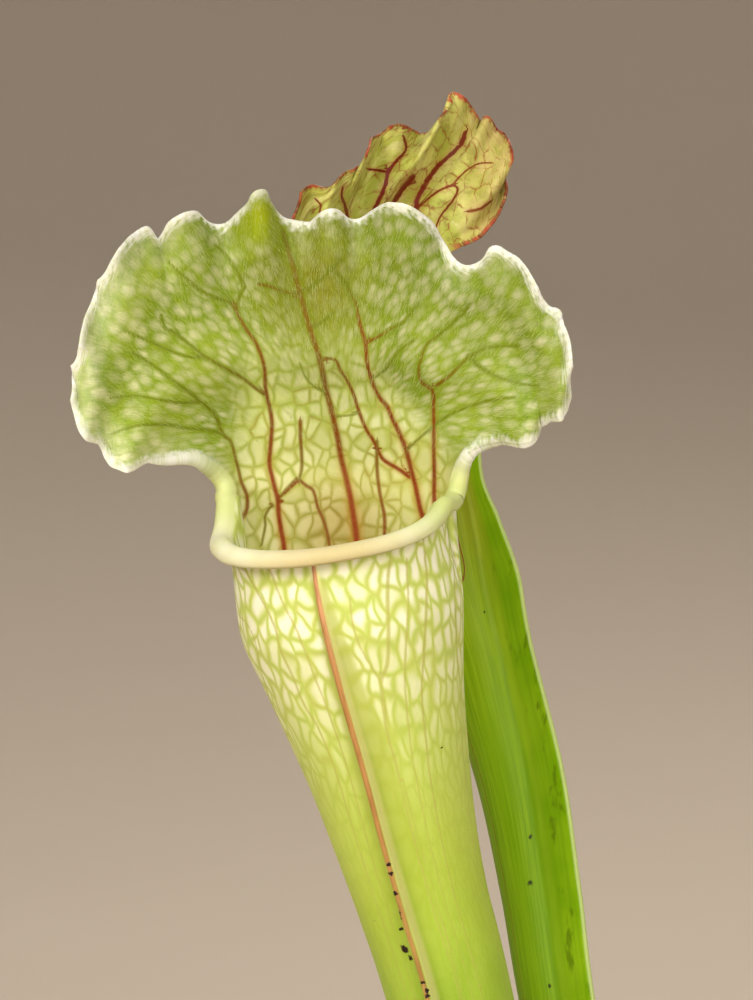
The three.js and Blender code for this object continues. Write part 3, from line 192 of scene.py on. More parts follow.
def pitcher(spec, res):
    """One pitcher leaf as a closed body: tube, keel, rolled lip and hood. Returns vertices, faces and attributes."""
    if "mouth" in spec:
        front, back, top, left, right = simple_mouth(*spec["mouth"])
    else:
        front, back, top, left, right = [np.array(spec[k], float) for k in ("front", "back", "top", "left", "right")]
    st = np.array(spec["stations"], float)

    # columns: kind 0 front arc, 1 keel, 2 round the back
    q = np.linspace(1, 0, res["front"] + 1)[:-1]
    kinds, par = [0] * len(q), list(-q)
    kinds += [1] * 15
    keel_s = np.concatenate([-KEEL_ROOT, [0], KEEL_ROOT[::-1]])
    keel_side = np.concatenate([-KEEL_SIDE, [0], KEEL_SIDE[::-1]])
    keel_rise = np.concatenate([KEEL_RISE, [1.0], KEEL_RISE[::-1]])
    par += list(keel_s)
    kinds += [0] * len(q)
    par += list(q[::-1])
    nf = len(par)
    nb = res["back"]
    kinds += [2] * (nb - 1)
    par += [1 - k / nb for k in range(1, nb)]
    kinds, par = np.array(kinds), np.array(par)
    n = len(par)
    is_keel = kinds == 1

    def angles(r):
        root = KEEL_ROOT[0] / r
        far = math.radians(100)
        a = np.sign(par) * (root + (far - root) * np.abs(par))
        a = np.where(is_keel, par / r, a)
        return np.where(kinds == 2, -far - math.radians(160) * par, a)

    # rings up the tube
    us = np.linspace(0, 1, 500)
    zs = spline(st, us)[:, 2]
    z0, z1 = st[0, 2], st[-1, 2]
    zsplit = res.get("split", z0)
    zrow = np.unique(np.concatenate([np.linspace(z0, zsplit, res["low"]), np.linspace(zsplit, z1, res["high"])]))
    ur = np.interp(zrow, zs, us)
    rows, axis, fdir, sdir, rad_, keelh, keepu = [], [], [], [], [], [], []
    for i, u in enumerate(ur):
        x, y, z, r, k, facing = spline(st, np.array([u]))[0]
        c = np.array([x, y, z])
        a = unit(spline(st, np.array([min(u + 0.01, 1)]))[0, :3] - spline(st, np.array([max(u - 0.01, 0)]))[0, :3])
        a = unit(np.array([0, 0, 1]) * (1 - ramp(z, z0, z0 + 4)) + a * ramp(z, z0, z0 + 4))
        f0 = np.array([math.sin(math.radians(facing)), -math.cos(math.radians(facing)), 0])
        s = unit(np.cross(a, f0))
        f = np.cross(s, a)
        t = angles(r)
        tear = 0.12 * min(1.0, k / 3)
        rr = r * (1 + tear * np.maximum(0, np.cos(t)) ** 3)
        if "ribs" in spec:
            rr = rr * (1 + spec["ribs"] * np.cos(11 * t) * ramp(r, 4, 9))
        rows.append(c + np.outer(rr * np.cos(t), f) + np.outer(rr * np.sin(t), s))
        axis.append(a), fdir.append(f), sdir.append(s), rad_.append(r), keelh.append(k)
    last_p, last_a, last_c = rows[-1], axis[-1], np.array(spline(st, np.array([1.0]))[0, :3])
    climb = unit(rows[-1] - rows[-2])
    mr = np.linalg.norm(front[10] - (front[0] + front[-1]) / 2)
    am = angles(mr)
    fu = am / math.radians(100)
    mouth = np.where((kinds == 2)[:, None], spline(back, par), spline(front, (fu + 1) / 2 + spec.get("keel_shift", 0) * (1 - fu**2)))
    out = unit(last_p - last_c)
    dist = np.linalg.norm(mouth - last_p, axis=1)[:, None]
    m1 = np.array([0, 0, 0.9]) * dist + out * np.where(kinds == 2, 0, 0.35)[:, None] * dist
    for b in range(1, res["bridge"] + 1):
        t = b / res["bridge"]
        h = [2 * t**3 - 3 * t**2 + 1, t**3 - 2 * t**2 + t, -2 * t**3 + 3 * t**2, t**3 - t**2]
        rows.append(last_p * h[0] + climb * dist * h[1] + mouth * h[2] + m1 * h[3])
        fdir.append(fdir[-1]), sdir.append(sdir[-1]), rad_.append(rad_[-1])
        keelh.append(st[-1, 4] * (1 - t))
    rows = np.array(rows)
    nr = len(rows)

    # hood
    T, L, R = soften(top, 5.5 * (len(top) - 1) / 128), soften(left, 3 * (len(left) - 1) / 32), soften(right, 3 * (len(right) - 1) / 32)
    T[:, 1] = soften(top, spec.get("calm", 5.5) * (len(top) - 1) / 128)[:, 1]
    T1 = soften(top, 2.2 * (len(top) - 1) / 128)
    late, last = np.array([3.2, 6.0, 3.2]), np.array([9.0, 9.0, 9.0])

    def patch(u, v):
        ruled = spline(back, u) * (1 - v) + spline(T, u) * v
        lv, rv = spline(L, np.array([v]))[0], spline(R, np.array([v]))[0]
        across = np.outer(1 - u, lv) + np.outer(u, rv)
        corner = (np.outer(1 - u, back[0]) + np.outer(u, back[-1])) * (1 - v) + (np.outer(1 - u, T[0]) + np.outer(u, T[-1])) * v
        return ruled + across - corner

    hu = 1 - np.arange(nb + 1) / nb
    hood = []
    d0 = (patch(hu, 0.02) - patch(hu, 0)) * 50
    want = last_a * (np.linalg.norm(d0, axis=1)[:, None] * 0.55) + d0 * 0.25
    w6 = (1 - (2 * hu - 1) ** 6)[:, None]
    dT, dT1 = spline(T1, hu) - spline(T, hu), spline(top, hu) - spline(T1, hu)
    vs = np.linspace(0, 1, res["hood"] + 1)[1:]
    pleat = spec.get("pleat")
    for v in vs:
        p = patch(hu, v) + (want - d0) * (v * (1 - v) ** 2) * w6
        p = p + dT * v**late + dT1 * v**last
        dl = spline(left, np.array([v]))[0] - spline(L, np.array([v]))[0]
        dr = spline(right, np.array([v]))[0] - spline(R, np.array([v]))[0]
        p = p + np.outer((1 - hu) ** 9, dl) + np.outer(hu**9, dr)
        if pleat is not None:
            p = p + pleat(hu, v)
        hood.append(p)
    hood = np.array(hood)
    nh = len(hood)
    hcols = np.concatenate([[nf - 1], nf + np.arange(nb - 1), [0]])

    pts = np.concatenate([rows.reshape(-1, 3), hood.reshape(-1, 3)])
    tube_id = np.arange(nr * n).reshape(nr, n)
    hood_id = np.concatenate([tube_id[-1][hcols][None], nr * n + np.arange(nh * (nb + 1)).reshape(nh, nb + 1)])
    nxt = np.roll(tube_id, -1, axis=1)
    tq = np.stack([tube_id[:-1], nxt[:-1], nxt[1:], tube_id[1:]], -1).reshape(-1, 4)
    hq = np.stack([hood_id[:-1, :-1], hood_id[:-1, 1:], hood_id[1:, 1:], hood_id[1:, :-1]], -1).reshape(-1, 4)
    nor = np.zeros_like(pts)
    for qd in (tq, hq):
        fn = np.cross(pts[qd[:, 2]] - pts[qd[:, 0]], pts[qd[:, 3]] - pts[qd[:, 1]])
        for k in range(4):
            np.add.at(nor, qd[:, k], fn)
    nor = unit(nor)

    # leaf coordinates: U round the leaf from the midrib, V along it from the mouth
    R0 = mr
    phi = am.copy()
    phi = np.where(kinds == 2, -math.radians(100) - math.radians(160) * par, phi)
    phi = np.where(phi < -math.pi, phi + 2 * math.pi, phi)  # front 0, back +-pi
    back_phi = np.where(phi > 0, phi - math.pi, phi + math.pi)  # midrib 0; right side negative
    U = np.tile(R0 * back_phi, (nr, 1))
    mid = rows[:, hcols[len(hcols) // 2]]
    seg = np.linalg.norm(np.diff(rows.mean(1), axis=0), axis=1)
    Vt = -np.concatenate([np.cumsum(seg[::-1])[::-1], [0]])
    V = np.tile(Vt[:, None], (1, n))
    hoodp = np.concatenate([rows[-1][hcols][None], hood])
    dv = np.linalg.norm(np.diff(hoodp, axis=0), axis=2)
    HV = np.cumsum(dv, axis=0)
    du = np.linalg.norm(np.diff(hoodp[1:], axis=1), axis=2)
    cu = np.concatenate([np.zeros((nh, 1)), np.cumsum(du, axis=1)], axis=1)
    imid = nb // 2
    HU = -(cu[:, imid : imid + 1] - cu)
    HU = -HU if U[0, hcols[1]] > 0 and HU[0, 1] < 0 else HU
    if np.sign(HU[0, 1]) != np.sign(U[-1][hcols][1]):
        HU = -HU
    UV = np.zeros((len(pts), 3))
    UV[: nr * n, 0], UV[: nr * n, 1] = U.reshape(-1), V.reshape(-1)
    UV[nr * n :, 0], UV[nr * n :, 1] = HU.reshape(-1), HV.reshape(-1)
    hoodv = np.concatenate([np.zeros(nr * n), np.repeat(vs, nb + 1)])

    # rim loop
    loop = np.concatenate([tube_id[-1][:nf], hood_id[1:, 0], hood_id[-1, 1:], hood_id[-2:0:-1, -1]])
    lipw = np.concatenate([np.ones(nf), np.maximum(0, 1 - vs * 2.2), np.zeros(nb), np.maximum(0, 1 - vs[::-1][1:] * 2.2)])
    m = len(loop)
    P, Nn = pts[loop], nor[loop]
    tang = unit(np.roll(P, -2, axis=0) - np.roll(P, 2, axis=0))
    E = unit(np.cross(tang, Nn))
    inner_pt = np.concatenate([rows[-2][:nf], hood[:, 1], hood[-2, 1:], hood[::-1][1:, -2]])
    E = np.where((np.sum(E * (P - inner_pt), axis=1) < 0)[:, None], -E, E)
    for _ in range(40):
        E = unit(E + 0.5 * (np.roll(E, 1, axis=0) + np.roll(E, -1, axis=0)))
    E = unit(E - Nn * np.sum(E * Nn, axis=1)[:, None])
    turn = np.radians(35 + (spec["lip_turn"] - 35) * lipw**0.8)
    rho = spec["lip_radius"] * (0.5 + 0.5 * lipw) + 0.2 * (1 - ramp(lipw, 0, 0.4))
    if "lip_left" in spec:
        share = np.concatenate([np.linspace(0, 1, nf), np.full(m - nf, 0.5)])
        rho = rho * np.where(lipw >= 1, 1 + spec["lip_left"] * (1 - ramp(share, 0.1, 0.75)), 1 + spec["lip_left"] * (np.arange(m) > m / 2) * lipw)
    nc = res["curl"]
    CP, CN = [], []
    for k in range(1, nc + 1):
        b = (turn * k / nc)[:, None]
        CP.append(P + rho[:, None] * (np.sin(b) * E + (1 - np.cos(b)) * Nn))
        CN.append(unit(np.cos(b) * Nn - np.sin(b) * E))
    CP, CN = np.array(CP), np.array(CN)

    # distance to the rim, for the pale edge
    rim = P[::2]
    edge = np.full(len(pts), 30.0)
    cand = np.flatnonzero((hoodv > 0) | (UV[:, 1] > -12))
    for a in range(0, len(cand), 4000):
        c = cand[a : a + 4000]
        edge[c] = np.sqrt(((pts[c][:, None] - rim[None]) ** 2).sum(-1)).min(1)

    # skins
    half = np.where(hoodv > 0, spec["hood_wall"] + (spec["rim_wall"] - spec["hood_wall"]) * hoodv, spec["wall"]) / 2
    half_row = np.repeat(np.arange(nr), n)
    keel_off = np.zeros_like(pts)
    kcols = np.flatnonzero(is_keel)
    for i in range(nr):
        keel_off[tube_id[i][kcols]] = np.outer(keel_rise * keelh[i], fdir[i]) + np.outer(
            (keel_side - keel_s) * min(1.0, keelh[i] / 0.8), sdir[i]
        )
    outer = pts + nor * half[:, None] + keel_off
    inner = pts - nor * half[:, None]
    cav = int(np.searchsorted(zrow, spec["cavity_z"]))
    keep = np.unique(np.concatenate([np.arange(cav, nr - 12, res["inner_step"]), np.arange(max(cav, nr - 12), nr)]))
    in_tube = tube_id[keep]
    used_in = np.unique(np.concatenate([in_tube.reshape(-1), hood_id.reshape(-1)]))
    remap = np.full(len(pts), -1)
    remap[used_in] = len(outer) + np.arange(len(used_in))
    inx = np.roll(in_tube, -1, axis=1)
    iq = np.stack([in_tube[:-1], in_tube[1:], inx[1:], inx[:-1]], -1).reshape(-1, 4)
    faces4 = [tq, hq, remap[iq], remap[hq[:, ::-1]]]
    verts = [outer, inner[used_in]]
    base = len(outer) + len(used_in)
    rim_half = spec["rim_wall"] / 2
    co = CP + CN * rim_half
    ci = CP - CN * rim_half
    co_id = base + np.arange(nc * m).reshape(nc, m)
    ci_id = base + nc * m + np.arange(nc * m).reshape(nc, m)
    verts += [co.reshape(-1, 3), ci.reshape(-1, 3)]
    A = np.concatenate([loop[None], co_id])
    B = np.concatenate([remap[loop][None], ci_id])
    An, Bn = np.roll(A, -1, axis=1), np.roll(B, -1, axis=1)
    faces4.append(np.stack([A[:-1], An[:-1], An[1:], A[1:]], -1).reshape(-1, 4))
    faces4.append(np.stack([B[:-1], B[1:], Bn[1:], Bn[:-1]], -1).reshape(-1, 4))
    faces4.append(np.stack([A[-1], An[-1], Bn[-1], B[-1]], -1))
    foot = base + 2 * nc * m
    cavc = foot + 1
    verts += [st[0, :3][None], inner[in_tube[0]].mean(0)[None]]
    ring0, ringc = tube_id[0], remap[in_tube[0]]
    f1 = np.stack([np.full(n, foot), np.roll(ring0, -1), ring0], -1)
    f2 = np.stack([np.full(n, cavc), ringc, np.roll(ringc, -1)], -1)

    def put(a, foot_v=None):
        """A value for each point of the middle surface, carried to every vertex of the closed body."""
        rest = [a[:1], a[:1]] if foot_v is None else [[foot_v], [foot_v]]
        return np.concatenate([a, a[used_in], np.tile(a[loop], 2 * nc)] + rest)

    keel_w = np.zeros(len(pts))
    lat = np.zeros(len(pts))
    lat_all = np.zeros(len(pts))
    for i in range(nr):
        keel_w[tube_id[i][kcols]] = keel_rise * ramp(keelh[i], 0.0, 0.15)
        a_i = np.where(kinds == 2, 9.0 * np.sign(0.5 - par), angles(rad_[i]) * rad_[i])
        lat[tube_id[i]] = np.clip(a_i, -9, 9)
    lip_pts = np.zeros(len(pts))
    lip_pts[loop] = lipw
    allv = np.concatenate(verts)
    outside = np.concatenate([np.zeros(len(pts)), np.ones(len(used_in)), np.zeros(nc * m), np.ones(nc * m), [0, 1]])
    lip_v = np.concatenate([lip_pts * 0.55, lip_pts[used_in] * 0.55, np.tile(lipw, 2 * nc), [0, 0]])
    keel_v = np.concatenate([keel_w, np.zeros(len(used_in) + 2 * nc * m + 2)])
    edge_v = np.concatenate([edge, edge[used_in], np.zeros(2 * nc * m), [30, 30]])
    attrs = {
        "leaf": np.stack([put(UV[:, 0]), put(UV[:, 1]), np.zeros(len(allv))], 1),
        "zone": np.stack([put(hoodv), edge_v, put(lat)], 1),
    }
    front_cols, back_cols = np.flatnonzero(kinds != 2), np.flatnonzero(kinds == 2)
    info = dict(
        pts=pts, nor=nor, hood=hood, hood_id=hood_id, tube_id=tube_id, used_in=used_in, loop=loop, UV=UV, hoodv=hoodv, n_outer=len(outer), hu=hu, vs=vs,
        put=put, lat=lat, keel=keel_v, lip=lip_v, inside=outside, front_cols=front_cols, back_cols=back_cols, kcols=kcols, outer=outer, half=half, radii=np.array(rad_),
    )
    return allv, faces4 + [f1, f2], attrs, info


# ------------------------------------------------------------------ measures
# Stations are [x, y, z, tube radius, keel height, facing]; front, back, left, top and right are the mouth and hood margins.
FRONT = {
    "wall": 0.9,
    "hood_wall": 0.8,
    "rim_wall": 0.39999999999999997,
    "lip_radius": 0.92,
    "lip_turn": 205,
    "cavity_z": 112.0,
    "stations": [[-2.4, -3.4, 88.3, 2.5, 0.2, -11.7], [-2.7, -3.5, 92, 2.6, 0.5, -11.7], [-4.6, -4.1, 101, 3.3, 1.6, -11.7], [-9.3, -5.2, 120, 4.6, 3.2, -11.7], [-16.0, -6.5, 149, 6.1, 3.7, -11.7], [-23.1, -7.5, 178, 7.1, 3.3, -11.7], [-26.05, -8.0, 188.5, 7.5, 3.0, -11.7], [-28.3, -8.4, 197, 8.3, 2.7, -11.7], [-30.35, -8.8, 205.6, 9.5, 2.3, -11.7], [-32.45, -9.2, 214.1, 11.1, 1.8, -11.7], [-34.1, -9.6, 221.3, 12.75, 1.3, -11.7]],
    "front": [[-48.78, -4.25, 236.86], [-48.88, -6.55, 233.92], [-49.13, -8.95, 232.34], [-49.08, -11.37, 231.87], [-48.85, -13.75, 231.85], [-48.31, -16.02, 231.57], [-47.38, -18.1, 231.23], [-46, -19.94, 231.1], [-44.25, -21.49, 231.05], [-42.21, -22.7, 231.16], [-39.94, -23.52, 231.36], [-37.56, -23.95, 231.69], [-35.19, -23.93, 232.11], [-32.9, -23.48, 232.55], [-30.72, -22.62, 233.06], [-28.75, -21.37, 233.67], [-27.01, -19.78, 234.45], [-25.6, -17.89, 235.47], [-24.56, -15.76, 236.8], [-23.78, -13.46, 236.94], [-23.16, -11.06, 237.39]],
    "back": [[-48.78, -4.25, 236.86], [-48.1, -2.44, 236.85], [-46.93, -0.84, 236.88], [-45.51, 0.56, 236.9], [-43.94, 1.74, 236.93], [-42.24, 2.69, 236.95], [-40.41, 3.39, 236.98], [-38.51, 3.83, 237], [-36.56, 4, 237.03], [-34.61, 3.9, 237.05], [-32.7, 3.52, 237.08], [-30.85, 2.89, 237.1], [-29.11, 2, 237.12], [-27.51, 0.88, 237.15], [-26.08, -0.45, 237.17], [-24.85, -1.97, 237.2], [-23.86, -3.64, 237.22], [-23.11, -5.43, 237.25], [-22.68, -7.31, 237.27], [-22.63, -9.21, 237.3], [-23.16, -11.06, 237.39]],
    "left": [[-48.78, -4.25, 236.86], [-48.77, -4.05, 237.68], [-49.05, -3.81, 238.5], [-49.49, -3.6, 239.28], [-50.1, -3.8, 239.99], [-50.81, -4.31, 240.68], [-51.61, -5.06, 241.26], [-52.44, -5.78, 241.74], [-53.29, -6.42, 242.08], [-54.15, -7.08, 242.17], [-55.02, -7.67, 242.1], [-55.87, -8.23, 241.97], [-56.7, -8.78, 241.87], [-57.53, -9.44, 241.82], [-58.34, -10.21, 241.82], [-59.14, -11.21, 241.72], [-59.81, -12.48, 241.37], [-60.42, -13.65, 241.01], [-61.1, -14.41, 240.79], [-61.84, -14.33, 241.09], [-62.59, -14.27, 241.4], [-63.11, -13.9, 242.01], [-63.53, -13.69, 242.69], [-63.86, -13.72, 243.42], [-64.26, -14.18, 244.11], [-64.86, -15.38, 244.38], [-65.47, -16.47, 244.61], [-65.92, -16.61, 245.26], [-66.24, -16.27, 245.99], [-66.48, -15.83, 246.74], [-66.72, -15.52, 247.49], [-67.02, -15.45, 248.24], [-67.2, -15.56, 249.02]],
    "top": [[-67.2, -15.56, 249.02], [-67.07, -15.19, 249.75], [-67.01, -14.91, 250.5], [-67.01, -14.83, 251.26], [-67.07, -15.09, 252.03], [-67.06, -15.52, 252.81], [-66.59, -15.49, 253.32], [-66.27, -15.65, 253.96], [-66.17, -15.96, 254.73], [-66.1, -16.14, 255.49], [-66.02, -16.09, 256.25], [-65.9, -15.74, 256.99], [-65.76, -15.19, 257.72], [-65.63, -14.49, 258.44], [-65.38, -13.69, 259.12], [-65.08, -12.99, 259.79], [-64.77, -12.5, 260.47], [-64.51, -12.35, 261.18], [-64.33, -12.59, 261.93], [-64.14, -13.03, 262.69], [-63.55, -13.08, 263.18], [-63.08, -13.35, 263.8], [-62.7, -13.64, 264.47], [-62.4, -13.86, 265.18], [-62.04, -13.79, 265.85], [-61.66, -13.48, 266.51], [-61.19, -12.88, 267.08], [-60.72, -12.21, 267.65], [-60.16, -11.43, 268.11], [-59.57, -10.77, 268.55], [-58.91, -10.24, 268.89], [-58.35, -9.53, 268.69], [-57.98, -8.75, 268.05], [-57.55, -8.19, 267.45], [-57.05, -8.75, 267.91], [-56.59, -9.57, 268.56], [-56.17, -10.34, 269.24], [-55.6, -10.79, 269.78], [-54.96, -10.87, 270.19], [-54.28, -10.64, 270.54], [-53.56, -10.03, 270.7], [-52.88, -9.08, 270.65], [-52.37, -7.7, 270.17], [-51.88, -6.37, 269.64], [-51.25, -5.34, 269.27], [-50.5, -4.8, 269.18], [-49.74, -4.72, 269.31], [-49.08, -5.13, 269.7], [-48.5, -5.86, 270.24], [-47.88, -6.61, 270.75], [-47.27, -7.31, 271.25], [-46.71, -7.93, 271.78], [-46.38, -8.58, 272.48], [-45.92, -8.89, 273.09], [-45.2, -8.58, 273.29], [-44.67, -7.67, 273.01], [-44.45, -6.42, 272.3], [-44.09, -5.43, 271.63], [-43.7, -4.69, 270.98], [-43.22, -4.23, 270.39], [-42.61, -4.06, 269.93], [-41.86, -4, 269.73], [-41.09, -4.1, 269.58], [-40.31, -4.39, 269.47], [-39.54, -4.82, 269.43], [-38.94, -5.8, 269.94], [-38.33, -6.63, 270.43], [-37.65, -7.09, 270.83], [-36.94, -6.99, 271.01], [-36.21, -6.37, 270.85], [-35.58, -5.38, 270.4], [-34.99, -4.38, 269.92], [-34.27, -3.84, 269.76], [-33.53, -3.86, 269.93], [-32.86, -4.36, 270.33], [-32.21, -5.16, 270.75], [-31.54, -6.13, 271.14], [-30.86, -7.22, 271.52], [-30.15, -8.19, 271.74], [-29.38, -8.81, 271.69], [-28.61, -9.3, 271.64], [-27.9, -9.37, 271.38], [-27.22, -9.16, 271.01], [-26.59, -8.74, 270.57], [-25.96, -8.25, 270.11], [-25.33, -7.81, 269.65], [-24.84, -7.35, 269.06], [-24.45, -6.97, 268.39], [-24.1, -6.81, 267.7], [-23.74, -6.89, 267.01], [-23.36, -7.19, 266.34], [-22.98, -7.58, 265.67], [-22.49, -8.07, 265.09], [-21.92, -8.53, 264.59], [-21.22, -8.99, 264.29], [-20.46, -9.48, 264.3], [-19.77, -9.91, 264.55], [-19.12, -10.26, 264.95], [-18.67, -10.65, 265.56], [-18.34, -11.09, 266.25], [-17.78, -11.34, 266.61], [-17.07, -11.39, 266.51], [-16.45, -11.34, 266.05], [-15.8, -11.7, 265.67], [-15.15, -12.36, 265.3], [-14.65, -13, 264.76], [-14.17, -13.71, 264.19], [-13.81, -14.24, 263.53], [-13.44, -14.66, 262.87], [-13.12, -14.82, 262.19], [-12.83, -14.72, 261.48], [-12.52, -14.45, 260.77], [-12.06, -14.22, 260.15], [-11.54, -14.07, 259.59], [-10.81, -14.4, 259.45], [-10.26, -14.6, 259.02], [-10.14, -14.56, 258.27], [-9.97, -14.8, 257.55], [-9.63, -15.45, 256.9], [-9.4, -16.12, 256.2], [-9.23, -16.79, 255.49], [-9.17, -17.3, 254.75], [-9.1, -17.69, 254.01], [-9.11, -17.84, 253.26], [-9.18, -17.79, 252.5], [-9.24, -17.63, 251.73], [-9.26, -17.42, 250.97], [-9.19, -17.22, 250.2], [-9.13, -17.06, 249.44]],
    "right": [[-23.16, -11.06, 237.39], [-22.96, -10.91, 237.94], [-22.75, -10.74, 238.57], [-22.57, -10.62, 239.2], [-22.38, -10.63, 239.84], [-22.19, -10.73, 240.49], [-21.93, -10.92, 241.11], [-21.56, -11.17, 241.69], [-21.13, -11.36, 242.21], [-20.57, -11.55, 242.64], [-20.02, -11.54, 243.05], [-19.4, -11.58, 243.35], [-18.75, -11.67, 243.61], [-18.09, -11.9, 243.81], [-17.41, -12.38, 243.93], [-16.74, -12.97, 244.05], [-16.08, -13.83, 243.99], [-15.48, -14.69, 243.89], [-14.87, -15.35, 243.84], [-14.24, -15.75, 243.86], [-13.65, -15.75, 244.08], [-13.16, -15.43, 244.47], [-12.8, -14.98, 245], [-12.55, -14.61, 245.58], [-12.35, -14.46, 246.18], [-11.82, -15.11, 246.54], [-11.31, -15.94, 246.92], [-10.72, -17.07, 246.98], [-10.16, -17.79, 247.11], [-9.85, -17.6, 247.66], [-9.53, -17.45, 248.22], [-9.32, -17.22, 248.82], [-9.13, -17.06, 249.44]],
}
